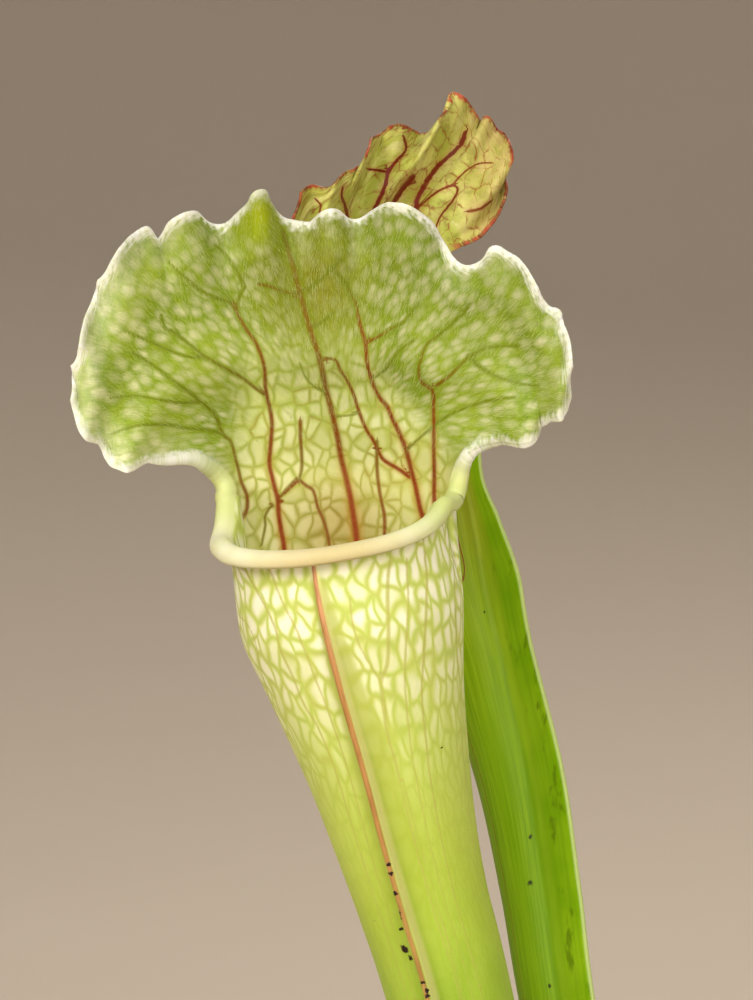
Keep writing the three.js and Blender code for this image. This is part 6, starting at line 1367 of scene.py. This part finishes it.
# ------------------------------------------------------------------ hairs of the front hood
def hairs(geo, count, length, thick, name, seed, v0=0.12, lift=0.42):
    """Thin bent spikes on the inner face of a hood, lying towards the mouth."""
    r = np.random.default_rng(seed)
    grid = geo["hood_id"]
    pts, nor, half = geo["pts"], geo["nor"], geo["half"]
    a, b, c, d = grid[:-1, :-1], grid[:-1, 1:], grid[1:, 1:], grid[1:, :-1]
    quads = np.stack([a, b, c, d], -1).reshape(-1, 4)
    area = np.linalg.norm(np.cross(pts[quads[:, 1]] - pts[quads[:, 0]], pts[quads[:, 3]] - pts[quads[:, 0]]), axis=1)
    hv = geo["hoodv"][quads[:, 2]]
    area = area * ramp(hv, v0, v0 + 0.25)
    pick = r.choice(len(quads), count, p=area / area.sum())
    q = quads[pick]
    s, t = r.random(count)[:, None], r.random(count)[:, None]
    blend = lambda f: (f[q[:, 0]] * (1 - s) + f[q[:, 1]] * s) * (1 - t) + (f[q[:, 3]] * (1 - s) + f[q[:, 2]] * s) * t
    p, nn = blend(pts), unit(blend(nor))
    hf = blend(half[:, None])
    down = unit(pts[q[:, 0]] - pts[q[:, 3]] + pts[q[:, 1]] - pts[q[:, 2]])
    out = -nn
    side = unit(np.cross(down, out))
    base = p + out * (hf - 0.05)
    L = (length[0] + (length[1] - length[0]) * r.random(count))[:, None]
    swing = (r.normal(0, 0.17, count))[:, None]
    dir0 = unit(out * (lift + 0.25 * r.random(count)[:, None]) + down * 0.8 + side * swing)
    dir1 = unit(dir0 + down * 0.45 + np.array([0, 0, -0.12]) - out * 0.12)
    mid = base + dir0 * L * 0.5
    tip = mid + dir1 * L * 0.5
    e1 = unit(np.cross(dir0, side + 0.3 * out))
    e2 = unit(np.cross(dir0, e1))
    rad0, rad1 = thick, thick * 0.7
    verts = np.zeros((count, 7, 3))
    for k in range(3):
        ang = 2 * math.pi * k / 3
        w = math.cos(ang) * e1 + math.sin(ang) * e2
        verts[:, k], verts[:, 3 + k] = base + w * rad0, mid + w * rad1
    verts[:, 6] = tip
    o = (np.arange(count) * 7)[:, None]
    f4 = np.concatenate([o + np.array([[k, (k + 1) % 3, 3 + (k + 1) % 3, 3 + k]]) for k in range(3)])
    f3 = np.concatenate([o + np.array([[3 + k, 3 + (k + 1) % 3, 6]]) for k in range(3)] + [o + np.array([[2, 1, 0]])])
    return make_mesh(name, verts.reshape(-1, 3), [f4, f3])


hair_look = plain_material("leaf_hair", srgb(208, 216, 134), srgb(190, 202, 116), 0.5, Roughness=0.5, Specular_IOR_Level=0.3)
hair_front = hairs(fg, 11000, (0.6, 1.3), 0.013, "pitcher_front_hairs", 5)
finish_piece(hair_front, hair_look, "leaf_front")


# ------------------------------------------------------------------ rear pitcher
def rear_pleat(u, v):
    wave = 1.7 * np.sin(u * 19.0 + 0.6 + 1.3 * math.sin(v * 4)) + 0.7 * np.sin(u * 43.0 + 5 * v)
    return np.outer(wave * ramp(v, 0.12, 0.85), FWD)


rear_spec = dict(REAR, pleat=rear_pleat)
rv, rf, ra, rg = build_pitcher(
    "pitcher_rear",
    rear_spec,
    dict(front=26, back=130, low=40, high=64, split=178.0, bridge=12, hood=64, curl=8, inner_step=6),
    paths(REAR_VEINS),
    paths(REAR_TUBE_VEINS),
    [(0.2, 0.3, 0.2), (5.2, 0.24, 0.4), (-5.2, 0.24, 0.4), (10.0, 0.2, 0.5), (-10.0, 0.2, 0.5)],
)
rpx = px(rg["pts"])
side = np.where(rg["hoodv"] > 0, ramp(rpx[:, 0], 425, 500), 0)
put = rg["put"]
ra["zone2"] = np.stack([rg["lip"], rg["inside"], np.zeros(len(rv))], 1)
ra["zone3"] = np.stack([rg["keel"], put(side), np.zeros(len(rv))], 1)
outer_rear = rg["outer"][rg["tube_id"][:, rg["front_cols"]].reshape(-1)]
SPOTS_REAR = on_crest(
    outer_rear,
    [(484, 612, 0.2), (494, 567, 0.35), (492, 560, 0.25), (522, 764, 0.22), (531, 836, 0.28), (530, 880, 0.38), (550, 987, 0.3), (555, 852, 0.22), (562, 902, 0.5), (556, 898, 0.4), (581, 959, 0.3), (545, 810, 0.15), (538, 700, 0.16), (560, 930, 0.18)],
)
pitcher_rear = make_mesh("pitcher_rear_leaf", rv, rf, ra)
finish_piece(pitcher_rear, rear_material(), "leaf_rear", "pitcher_rear")

# ------------------------------------------------------------------ young pitcher
yv, yf, ya, yg = build_pitcher(
    "pitcher_young",
    YOUNG,
    dict(front=24, back=110, low=2, high=70, split=88.4, bridge=10, hood=52, curl=8, inner_step=5),
    [],
    [],
    [(0.0, 0.26, 0.0), (4.6, 0.22, 0.1), (-4.6, 0.22, 0.1), (9.0, 0.18, 0.3), (-9.0, 0.18, 0.3), (13.0, 0.16, 0.5), (-13.0, 0.16, 0.5), (17.5, 0.16, 0.6), (-17.5, 0.16, 0.6), (2.3, 0.12, 0.8), (-2.3, 0.12, 0.8), (6.8, 0.12, 0.8), (-6.8, 0.12, 0.8)],
)
# veins of its hood fan out from the column
spread_u = [(0.0, 0.0, 0.28, 0.05), (2.6, 6.0, 0.22, 0.15), (-2.6, -6.0, 0.22, 0.15), (5.6, 12.0, 0.2, 0.3), (-5.6, -12.0, 0.2, 0.3), (1.4, 2.6, 0.14, 0.7), (-1.4, -2.6, 0.14, 0.7), (4.4, 8.6, 0.15, 0.6), (-4.4, -8.6, 0.15, 0.6)]
fan = []
for i, (u0, u1, w, t) in enumerate(spread_u):
    v = np.linspace(-0.5, 17.0 if i else 19.0, 24)
    path = np.stack([u0 + (u1 - u0) * np.clip(v / 17, 0, None) ** 1.2 + 0.2 * np.sin(v * 0.9 + i), v], 1)
    fan.append((path, np.full(24, w) * np.linspace(1, 0.5, 24), np.clip(t + np.linspace(0, 0.6, 24), 0, 1)))
hood_pts = np.flatnonzero(yg["hoodv"] > 0)
yn, yu, yt = nearest_line(yg["UV"][hood_pts, :2], fan, 8)
put = yg["put"]
vn, vu, vt = [np.array(ya["vein"][: len(yg["pts"]), k]) for k in range(3)]
vn[hood_pts], vu[hood_pts], vt[hood_pts] = yn, yu, yt
ya["vein"] = np.stack([put(vn), put(vu), put(vt)], 1)
ya["zone2"] = np.stack([yg["lip"], yg["inside"], np.zeros(len(yv))], 1)
ya["zone3"] = np.stack([yg["keel"], np.zeros(len(yv)), np.zeros(len(yv))], 1)
pitcher_young = make_mesh("pitcher_young_leaf", yv, yf, ya)
finish_piece(pitcher_young, young_material(), "leaf_young", "pitcher_young")
hair_young = hairs(yg, 2200, (0.7, 1.3), 0.026, "pitcher_young_hairs", 6)
finish_piece(hair_young, hair_look, "leaf_young")


# ------------------------------------------------------------------ blades, bases and scale
def blade(name, spec, mat, slot, rows=90, around=48, rag=0.0, curl=0.0):
    st = np.array(spec["stations"], float)
    turn = math.radians(spec["turn"])
    s0 = np.array([math.cos(turn), math.sin(turn), 0])
    verts, par = [], []
    r = np.random.default_rng(abs(int(st[0, 0] * 10)) + 3)
    ph = r.random(6) * 6.28
    t = 2 * math.pi * np.arange(around) / around
    for i in range(rows):
        u = i / (rows - 1)
        x, y, z, w, h = spline(st, np.array([u]))[0]
        a = unit(spline(st, np.array([min(u + 0.01, 1)]))[0, :3] - spline(st, np.array([max(u - 0.01, 0)]))[0, :3])
        k = ramp(u, 0, 0.05)
        a = unit(np.array([0, 0, 1.0]) * (1 - k) + a * k)
        across = unit(s0 - a * (a @ s0))
        depth = np.cross(a, across)
        c, s = np.cos(t), np.sin(t)
        wave = 0.12 * w * math.sin(u * 21 + ph[0]) * np.abs(c) * c + 0.05 * w * np.sin(u * 47 + ph[1]) * c
        thin = np.sign(s) * np.abs(s) ** 0.8 * (1 - 0.45 * np.abs(c) ** 3)
        rib = 0.16 * h * np.exp(-((c / 0.12) ** 2)) * np.sign(s)
        bow = 0.25 * w * c**2 * min(1, 3 * u) + 0.05 * w * np.sin(u * 17 + ph[2]) * c
        verts.append(np.array([x, y, z]) + np.outer(w * c + wave * 0.5, across) + np.outer(h * thin + rib + bow, depth))
        par.append(np.stack([t / (2 * math.pi), np.full(around, u), np.zeros(around)], 1))
    verts, par = np.array(verts), np.array(par)
    if rag:
        top = ramp(np.linspace(0, 1, rows), 0.6, 1.0)[:, None]
        jag = 0.5 * np.sin(t * 3 + ph[3]) + 0.35 * np.sin(t * 7 + ph[4]) + 0.25 * np.sin(t * 13 + ph[5])
        verts[:, :, 2] += rag * top**2 * jag[None]
        crumple = np.sin(verts[:, :, 2] * 1.9 + 3 * np.sin(t * 2)[None]) * 0.22 + np.sin(t * 9 + verts[:, :, 2] * 0.7) * 0.12
        mid = verts.mean(1, keepdims=True)
        verts += unit(verts - mid) * crumple[..., None] * rag
    ids = np.arange(rows * around).reshape(rows, around)
    nxt = np.roll(ids, -1, axis=1)
    quads = np.stack([ids[:-1], nxt[:-1], nxt[1:], ids[1:]], -1).reshape(-1, 4)
    foot, tip = rows * around, rows * around + 1
    f1 = np.stack([np.full(around, foot), nxt[0], ids[0]], -1)
    f2 = np.stack([np.full(around, tip), ids[-1], nxt[-1]], -1)
    end = st[-1, :3] + np.array([0, 0, 0.6 if not rag else -1.6])
    vv = np.concatenate([verts.reshape(-1, 3), [st[0, :3] - np.array([0, 0, 0.2])], [end]])
    pp = np.concatenate([par.reshape(-1, 3), [[0.25, 0, 0]], [[0.25, 1, 0]]])
    vol = np.cross(verts[1, 0] - verts[0, 0], verts[0, 1] - verts[0, 0]) @ (verts[0, 0] - verts[0].mean(0))
    if vol > 0:
        quads, f1, f2 = quads[:, ::-1], f1[:, ::-1], f2[:, ::-1]
    ob = make_mesh(name + "_leaf", vv, [quads, f1, f2], {"blade": pp})
    finish_piece(ob, mat, slot, name)
    return ob


green_blade = blade_material("blade_skin", srgb(96, 138, 34), srgb(132, 168, 56), srgb(196, 206, 120), srgb(84, 122, 28), False)
old_base = blade_material("withered_skin", srgb(112, 80, 48), srgb(150, 114, 72), srgb(176, 142, 96), srgb(84, 58, 36), True)
scale_skin = blade_material("bract_skin", srgb(150, 78, 54), srgb(176, 104, 64), srgb(206, 160, 104), srgb(122, 56, 44), False)
blade("phyllode_left", BLADES["phyllode_left"], green_blade, "leaf_blade", 110, 56)
blade("phyllode_right", BLADES["phyllode_right"], green_blade, "leaf_blade", 100, 56)
blade("old_leaf_base_left", BLADES["old_leaf_base_left"], old_base, "withered_leaf", 44, 48, rag=1.0)
blade("old_leaf_base_back", BLADES["old_leaf_base_back"], old_base, "withered_leaf", 40, 48, rag=0.9)
blade("bract_front", BLADES["bract_front"], scale_skin, "bract", 44, 40)

# ------------------------------------------------------------------ rhizome
BUMP = lambda x, y: 0.9 * np.sin(x * 0.21 + 1.3) * np.cos(y * 0.17 - 0.4) + 0.5 * np.sin(x * 0.47 - y * 0.39 + 2) + 0.3 * np.cos(y * 0.83 + x * 0.6)


def ball(nu, nv):
    """A sphere's vertices and faces, poles on Z."""
    th = math.pi * np.arange(1, nv) / nv
    ph = 2 * math.pi * np.arange(nu) / nu
    ring = np.stack([np.sin(th)[:, None] * np.cos(ph), np.sin(th)[:, None] * np.sin(ph), np.repeat(np.cos(th)[:, None], nu, 1)], -1)
    v = np.concatenate([ring.reshape(-1, 3), [[0, 0, 1.0]], [[0, 0, -1.0]]])
    ids = np.arange(nu * (nv - 1)).reshape(nv - 1, nu)
    nx = np.roll(ids, -1, 1)
    q = np.stack([ids[:-1], ids[1:], nx[1:], nx[:-1]], -1).reshape(-1, 4)
    a = np.stack([ids[0], nx[0], np.full(nu, nu * (nv - 1))], -1)
    b = np.stack([nx[-1], ids[-1], np.full(nu, nu * (nv - 1) + 1)], -1)
    return v, q, a, b


sv, sq, sa, sb = ball(180, 90)
X, Y, Z = sv.T
scar = 1 + 0.05 * np.sin(X * 16) * (1 - X * X)
ridge = 0.35 * np.sin(X * 44 + 1.5 * np.sin(Y * 3)) * (1 - X * X) + 0.25 * np.sin(Y * 19 + X * 7) * np.cos(X * 31)
a0, b0, c0 = RHIZOME["half"]
xx = X * (a0 - 0.2)
yy = Y * (b0 * scar - 0.2) + Y * ridge * 0.8
zz = np.sign(Z) * np.abs(Z) ** 0.8 * (c0 * scar - 0.2) + Z * ridge * 0.8
k, s = math.cos(math.radians(RHIZOME["turn"])), math.sin(math.radians(RHIZOME["turn"]))
rh = np.stack([RHIZOME["centre"][0] + xx * k - yy * s, RHIZOME["centre"][1] + xx * s + yy * k, RHIZOME["centre"][2] + zz], 1)
rhizome = make_mesh("rhizome_stem", rh, [sq, sa, sb])
finish_piece(rhizome, bark_material(), "rhizome_bark", "rhizome")

# ------------------------------------------------------------------ pot
H, R0, W0, B0, T0, BAND, FOOT = POT["height"], POT["topRadius"], POT["wallTopRadius"], POT["baseRadius"], POT["wall"], POT["bandHeight"], POT["footHeight"]


def rounded(profile, radius, steps=5):
    """A profile polyline with its inner corners rounded."""
    p = np.array(profile, float)
    out = [p[0]]
    for i in range(1, len(p) - 1):
        a, b, c = p[i - 1], p[i], p[i + 1]
        r = min(radius, 0.45 * np.linalg.norm(b - a), 0.45 * np.linalg.norm(c - b))
        s, e = b + unit(a - b) * r, b + unit(c - b) * r
        for t in np.linspace(0, 1, steps):
            out.append((1 - t) ** 2 * s + 2 * t * (1 - t) * b + t * t * e)
    out.append(p[-1])
    return np.array(out)


def lathe(profile, around):
    n = len(profile)
    th = 2 * math.pi * np.arange(around) / around
    v = np.stack([profile[1:-1, 0][:, None] * np.cos(th), profile[1:-1, 0][:, None] * np.sin(th), np.repeat(profile[1:-1, 1][:, None], around, 1)], -1).reshape(-1, 3)
    ids = np.arange((n - 2) * around).reshape(n - 2, around)
    nx = np.roll(ids, -1, 1)
    q = np.stack([ids[:-1], nx[:-1], nx[1:], ids[1:]], -1).reshape(-1, 4)
    v = np.concatenate([v, [[0, 0, profile[0, 1]]], [[0, 0, profile[-1, 1]]]])
    lo, hi = len(v) - 2, len(v) - 1
    a = np.stack([np.full(around, lo), nx[0], ids[0]], -1)
    b = np.stack([np.full(around, hi), ids[-1], nx[-1]], -1)
    return v, [q, a, b]


pot_profile = rounded(
    [[0, 0.9], [22, 0.9], [23, 0], [B0 - 1.2, 0], [B0 - 0.2, 0.7], [B0 + 0.1, FOOT], [B0 + 0.5, FOOT + 0.5], [W0 - 1.1, H - BAND - 1.2], [R0 - 0.6, H - BAND], [R0 - 0.1, H - BAND + 0.7],
     [R0 - 0.02, H - 5.2], [R0 - 0.3, H - 4.9], [R0 - 0.3, H - 4.5], [R0, H - 4.2], [R0, H - 1.6], [R0 - 0.5, H - 0.4], [R0 - 1.3, H], [R0 - 2.2, H - 0.3], [R0 - 2.7, H - 1.2],
     [R0 - 3.6, H - BAND + 0.2], [W0 - T0 - 1.0, H - BAND - 1.6], [B0 - T0 + 0.4, FOOT + 1.2], [B0 - T0 - 1.0, 2], [0, 2]], 0.7)
pv, pf = lathe(pot_profile, 160)
pot_raw = make_mesh("pot_body", pv, pf)
cut_v, cut_f = [], []
base_i = 0
for k in range(POT["holes"]):
    t = 2 * math.pi * k / POT["holes"]
    cx, cy = POT["holeCentreRadius"] * math.cos(t), POT["holeCentreRadius"] * math.sin(t)
    th = 2 * math.pi * np.arange(36) / 36
    low = np.stack([cx + POT["holeRadius"] * np.cos(th), cy + POT["holeRadius"] * np.sin(th), np.full(36, -3.0)], 1)
    cut_v += [low, low + [0, 0, 8.0]]
    i = np.arange(36)
    j = (i + 1) % 36
    cut_f.append(np.stack([i, j, j + 36, i + 36], 1) + base_i)
    cut_f.append(np.stack([np.zeros(34, int) + base_i, i[2:] + base_i, i[1:-1] + base_i], 1))
    cut_f.append(np.stack([np.full(34, 36) + base_i, i[1:-1] + 36 + base_i, i[2:] + 36 + base_i], 1))
    base_i += 72
cutter = make_mesh("hole_cutter", np.concatenate(cut_v), cut_f)
mod = pot_raw.modifiers.new("holes", "BOOLEAN")
mod.operation, mod.object, mod.solver = "DIFFERENCE", cutter, "EXACT"
bpy.context.view_layer.update()
cut_mesh = bpy.data.meshes.new_from_object(pot_raw.evaluated_get(bpy.context.evaluated_depsgraph_get()))
pot_raw.modifiers.clear()
pot_raw.data = cut_mesh
bpy.data.objects.remove(cutter, do_unlink=True)
for p in cut_mesh.polygons:
    p.use_smooth = abs(p.normal.z) < 0.999 or p.center.length > 0.035
finish_piece(pot_raw, pot_material(), "pot_plastic", "pot")


# ------------------------------------------------------------------ potting mix
def inside(z):
    k = (z - FOOT - 1.2) / (H - BAND - 1.6 - FOOT - 1.2)
    return B0 - T0 + 0.4 + k * (W0 - T0 - 1.0 - (B0 - T0 + 0.4)) - 0.3


edge_r = inside(H - BAND - 1.6)
rough_r = np.random.default_rng(21)
WAVES = [(rough_r.normal(0, 1, 2) * f, rough_r.random() * 6.28, a) for f, a in [(0.5, 0.3), (0.6, 0.3), (0.9, 0.22), (1.1, 0.2), (1.6, 0.14), (1.9, 0.14), (2.6, 0.1), (3.1, 0.1)]]


def soil_z(x, y):
    rr = np.hypot(x, y) / edge_r
    z = SOIL["top"] - 1.2 + SOIL["mound"] * (1 - rr**2) + BUMP(x, y) * (1 - rr**4) * 0.8
    rim_z = H - BAND - 1.6
    lump = sum(a * np.sin(w[0] * x + w[1] * y + p) for w, p, a in WAVES)
    z = z + lump * (1 - rr**6)
    blend = ramp(rr, 0.93, 1.0)
    return z * (1 - blend) + (rim_z + 0.4 * np.sin(np.arctan2(y, x) * 23)) * blend


rings_n, around = 90, 240
rr = np.linspace(0, 1, rings_n + 1)[1:]
th = 2 * math.pi * np.arange(around) / around
gx, gy = rr[:, None] * edge_r * np.cos(th), rr[:, None] * edge_r * np.sin(th)
topv = np.stack([gx, gy, soil_z(gx, gy)], -1)
wall = []
for z in (H - BAND - 6, 60, 30, FOOT + 1.4):
    wall.append(np.stack([inside(z) * np.cos(th), inside(z) * np.sin(th), np.full(around, float(z))], -1))
wall.append(np.stack([(inside(FOOT + 1.4) - 1.6) * np.cos(th), (inside(FOOT + 1.4) - 1.6) * np.sin(th), np.full(around, 2.3)], -1))
sv = np.concatenate([topv.reshape(-1, 3), np.array(wall).reshape(-1, 3), [[0, 0, float(soil_z(np.array(0.0), np.array(0.0)))]], [[0, 0, 2.3]]])
ids = np.arange((rings_n + 5) * around).reshape(-1, around)
nx = np.roll(ids, -1, 1)
sq = np.stack([ids[:-1], ids[1:], nx[1:], nx[:-1]], -1).reshape(-1, 4)
a = np.stack([np.full(around, len(sv) - 2), ids[0], nx[0]], -1)
b = np.stack([np.full(around, len(sv) - 1), nx[-1], ids[-1]], -1)
soil = make_mesh("potting_mix_body", sv, [sq, a, b])
peat_look = soil_material("peat_look", srgb(38, 26, 18), srgb(66, 46, 31), srgb(96, 70, 48))
finish_piece(soil, peat_look, "potting_mix", "potting_mix")


def ico(level):
    t = (1 + 5**0.5) / 2
    v = [[-1, t, 0], [1, t, 0], [-1, -t, 0], [1, -t, 0], [0, -1, t], [0, 1, t], [0, -1, -t], [0, 1, -t], [t, 0, -1], [t, 0, 1], [-t, 0, -1], [-t, 0, 1]]
    f = [[0, 11, 5], [0, 5, 1], [0, 1, 7], [0, 7, 10], [0, 10, 11], [1, 5, 9], [5, 11, 4], [11, 10, 2], [10, 7, 6], [7, 1, 8], [3, 9, 4], [3, 4, 2], [3, 2, 6], [3, 6, 8], [3, 8, 9], [4, 9, 5], [2, 4, 11], [6, 2, 10], [8, 6, 7], [9, 8, 1]]
    v = [list(unit(np.array(p, float))) for p in v]
    for _ in range(level):
        cache, nf = {}, []

        def middle(i, j):
            key = (min(i, j), max(i, j))
            if key not in cache:
                v.append(list(unit((np.array(v[i]) + np.array(v[j])) / 2)))
                cache[key] = len(v) - 1
            return cache[key]

        for i, j, k in f:
            ij, jk, ki = middle(i, j), middle(j, k), middle(k, i)
            nf += [[i, ij, ki], [j, jk, ij], [k, ki, jk], [ij, jk, ki]]
        f = nf
    return np.array(v), np.array(f)


LEAF_FEET = [FRONT["stations"][0], REAR["stations"][0], YOUNG["stations"][0]] + [b["stations"][0] for b in BLADES.values()]


def grains(name, count, size, squash, seed, mat, level=1, sink=0.35, rough=0.28, slots="potting_mix"):
    """Crumbs strewn over the mix: uneven closed lumps, half sunk."""
    r = np.random.default_rng(seed)
    bv, bf = ico(level)
    V, F = [], []
    made = 0
    while made < count:
        rad, ang = edge_r * 0.955 * math.sqrt(r.random()), r.random() * 2 * math.pi
        x, y = rad * math.cos(ang), rad * math.sin(ang)
        lx, ly = (x - RHIZOME["centre"][0]) / (RHIZOME["half"][0] - 2), (y - RHIZOME["centre"][1]) / (RHIZOME["half"][1] - 2)
        if lx * lx + ly * ly < 1:
            continue
        s = size[0] + (size[1] - size[0]) * r.random() ** 2.2
        v = bv.copy()
        for _ in range(5):
            n = unit(r.normal(0, 1, 3))
            v = v * (1 + rough * (r.random() - 0.35) * np.tanh(2.5 * (v @ n))[:, None])
        v = v * (1 + 0.10 * r.normal(0, 1, (len(v), 1)))
        v = v * (np.array([1, 0.6 + 0.4 * r.random(), squash[0] + (squash[1] - squash[0]) * r.random()]) * s)
        q = unit(r.normal(0, 1, 4)) if squash[1] > 0.7 else unit(np.array([1, 0.25 * r.normal(), 0.25 * r.normal(), r.normal()]))
        w, a, b, c = q
        M = np.array([[1 - 2 * (b * b + c * c), 2 * (a * b - w * c), 2 * (a * c + w * b)], [2 * (a * b + w * c), 1 - 2 * (a * a + c * c), 2 * (b * c - w * a)], [2 * (a * c - w * b), 2 * (b * c + w * a), 1 - 2 * (a * a + b * b)]])
        v = v @ M.T
        z = float(soil_z(np.array(x), np.array(y)))
        low = v[:, 2].min()
        v = v + np.array([x, y, z - low * (1 - sink) - 0.1 - sink * 0.2])
        V.append(v)
        F.append(bf + made * len(bv))
        made += 1
    ob = make_mesh(name, np.concatenate(V), [np.concatenate(F)], smooth=False)
    finish_piece(ob, mat, slots)
    return ob


grains("peat_crumbs", 1500, (0.5, 2.3), (0.45, 0.9), 31, peat_look, level=1)
perlite_look = plain_material("perlite_look", srgb(222, 218, 206), srgb(240, 238, 230), 1.6, Roughness=0.9)
grains("perlite_grains", 150, (0.6, 1.9), (0.6, 0.95), 32, perlite_look, level=2, rough=0.3)
bark_chip = soil_material("bark_chip_look", srgb(62, 38, 24), srgb(112, 74, 46), srgb(150, 108, 70), 0.5)
grains("bark_chips", 110, (1.4, 3.6), (0.2, 0.35), 33, bark_chip, level=1, sink=0.3)

# ------------------------------------------------------------------ stage and light
prof = [(0.0, 0.0), (0.3, 0.0), (0.6, 0.0), (0.9, 0.0), (1.2, 0.0)]
prof += [(1.2 + 2.3 * math.sin(t), 2.3 - 2.3 * math.cos(t)) for t in np.linspace(0, math.pi / 2, 28)[1:]]
prof += [(3.5, 2.8), (3.5, 3.5)]
n_a = 96
th = 2 * math.pi * np.arange(n_a) / n_a
gv = [np.stack([r * np.cos(th), r * np.sin(th), np.full(n_a, z)], -1) for r, z in prof[1:]]
gv = np.concatenate([np.array(gv).reshape(-1, 3), [[0, 0, 0]]]) * 1000
ids = np.arange((len(prof) - 1) * n_a).reshape(-1, n_a)
nx = np.roll(ids, -1, 1)
gq = np.stack([ids[:-1], ids[1:], nx[1:], nx[:-1]], -1).reshape(-1, 4)
ga = np.stack([np.full(n_a, len(gv) - 1), ids[0], nx[0]], -1)
stage = make_mesh("stage_bowl", gv, [gq, ga])
paint(stage, plain_material("stage_paper", srgb(212, 194, 172), srgb(214, 196, 175), 0.002, Roughness=0.95))

centre = np.array([-31.0, 0, 215.0]) * MM


def area(name, at, size, power, colour=(1, 1, 1), aim=centre):
    d = bpy.data.lights.new(name, "AREA")
    d.shape, d.size, d.energy, d.color = "SQUARE", size, power, colour
    o = bpy.data.objects.new(name, d)
    bpy.context.scene.collection.objects.link(o)
    o.location = Vector(at)
    o.rotation_mode = "QUATERNION"
    o.rotation_quaternion = (Vector(aim) - Vector(at)).to_track_quat("-Z", "Y")
    o.visible_camera = False
    return o


area("key", (-0.75, -1.0, 1.0), 0.8, 15.5, (1, 0.985, 0.95))
area("front", (0.5, -1.4, 0.85), 1.0, 15, (1, 0.99, 0.97))
area("back", (0.35, 1.2, 1.25), 0.9, 9, (1, 0.99, 0.96))
world = bpy.data.worlds.new("soft_room")
bpy.context.scene.world = world
world.use_nodes = True
bg = world.node_tree.nodes["Background"]
bg.inputs[0].default_value = (0.86, 0.9, 0.95, 1)
bg.inputs[1].default_value = 0.35
cyc = bpy.context.scene.cycles
cyc.max_bounces, cyc.diffuse_bounces, cyc.glossy_bounces, cyc.transmission_bounces = 4, 2, 2, 2
cyc.adaptive_threshold, cyc.adaptive_min_samples = 0.06, 20
bpy.context.scene.view_settings.view_transform = "Standard"
bpy.context.scene.view_settings.look = "None"
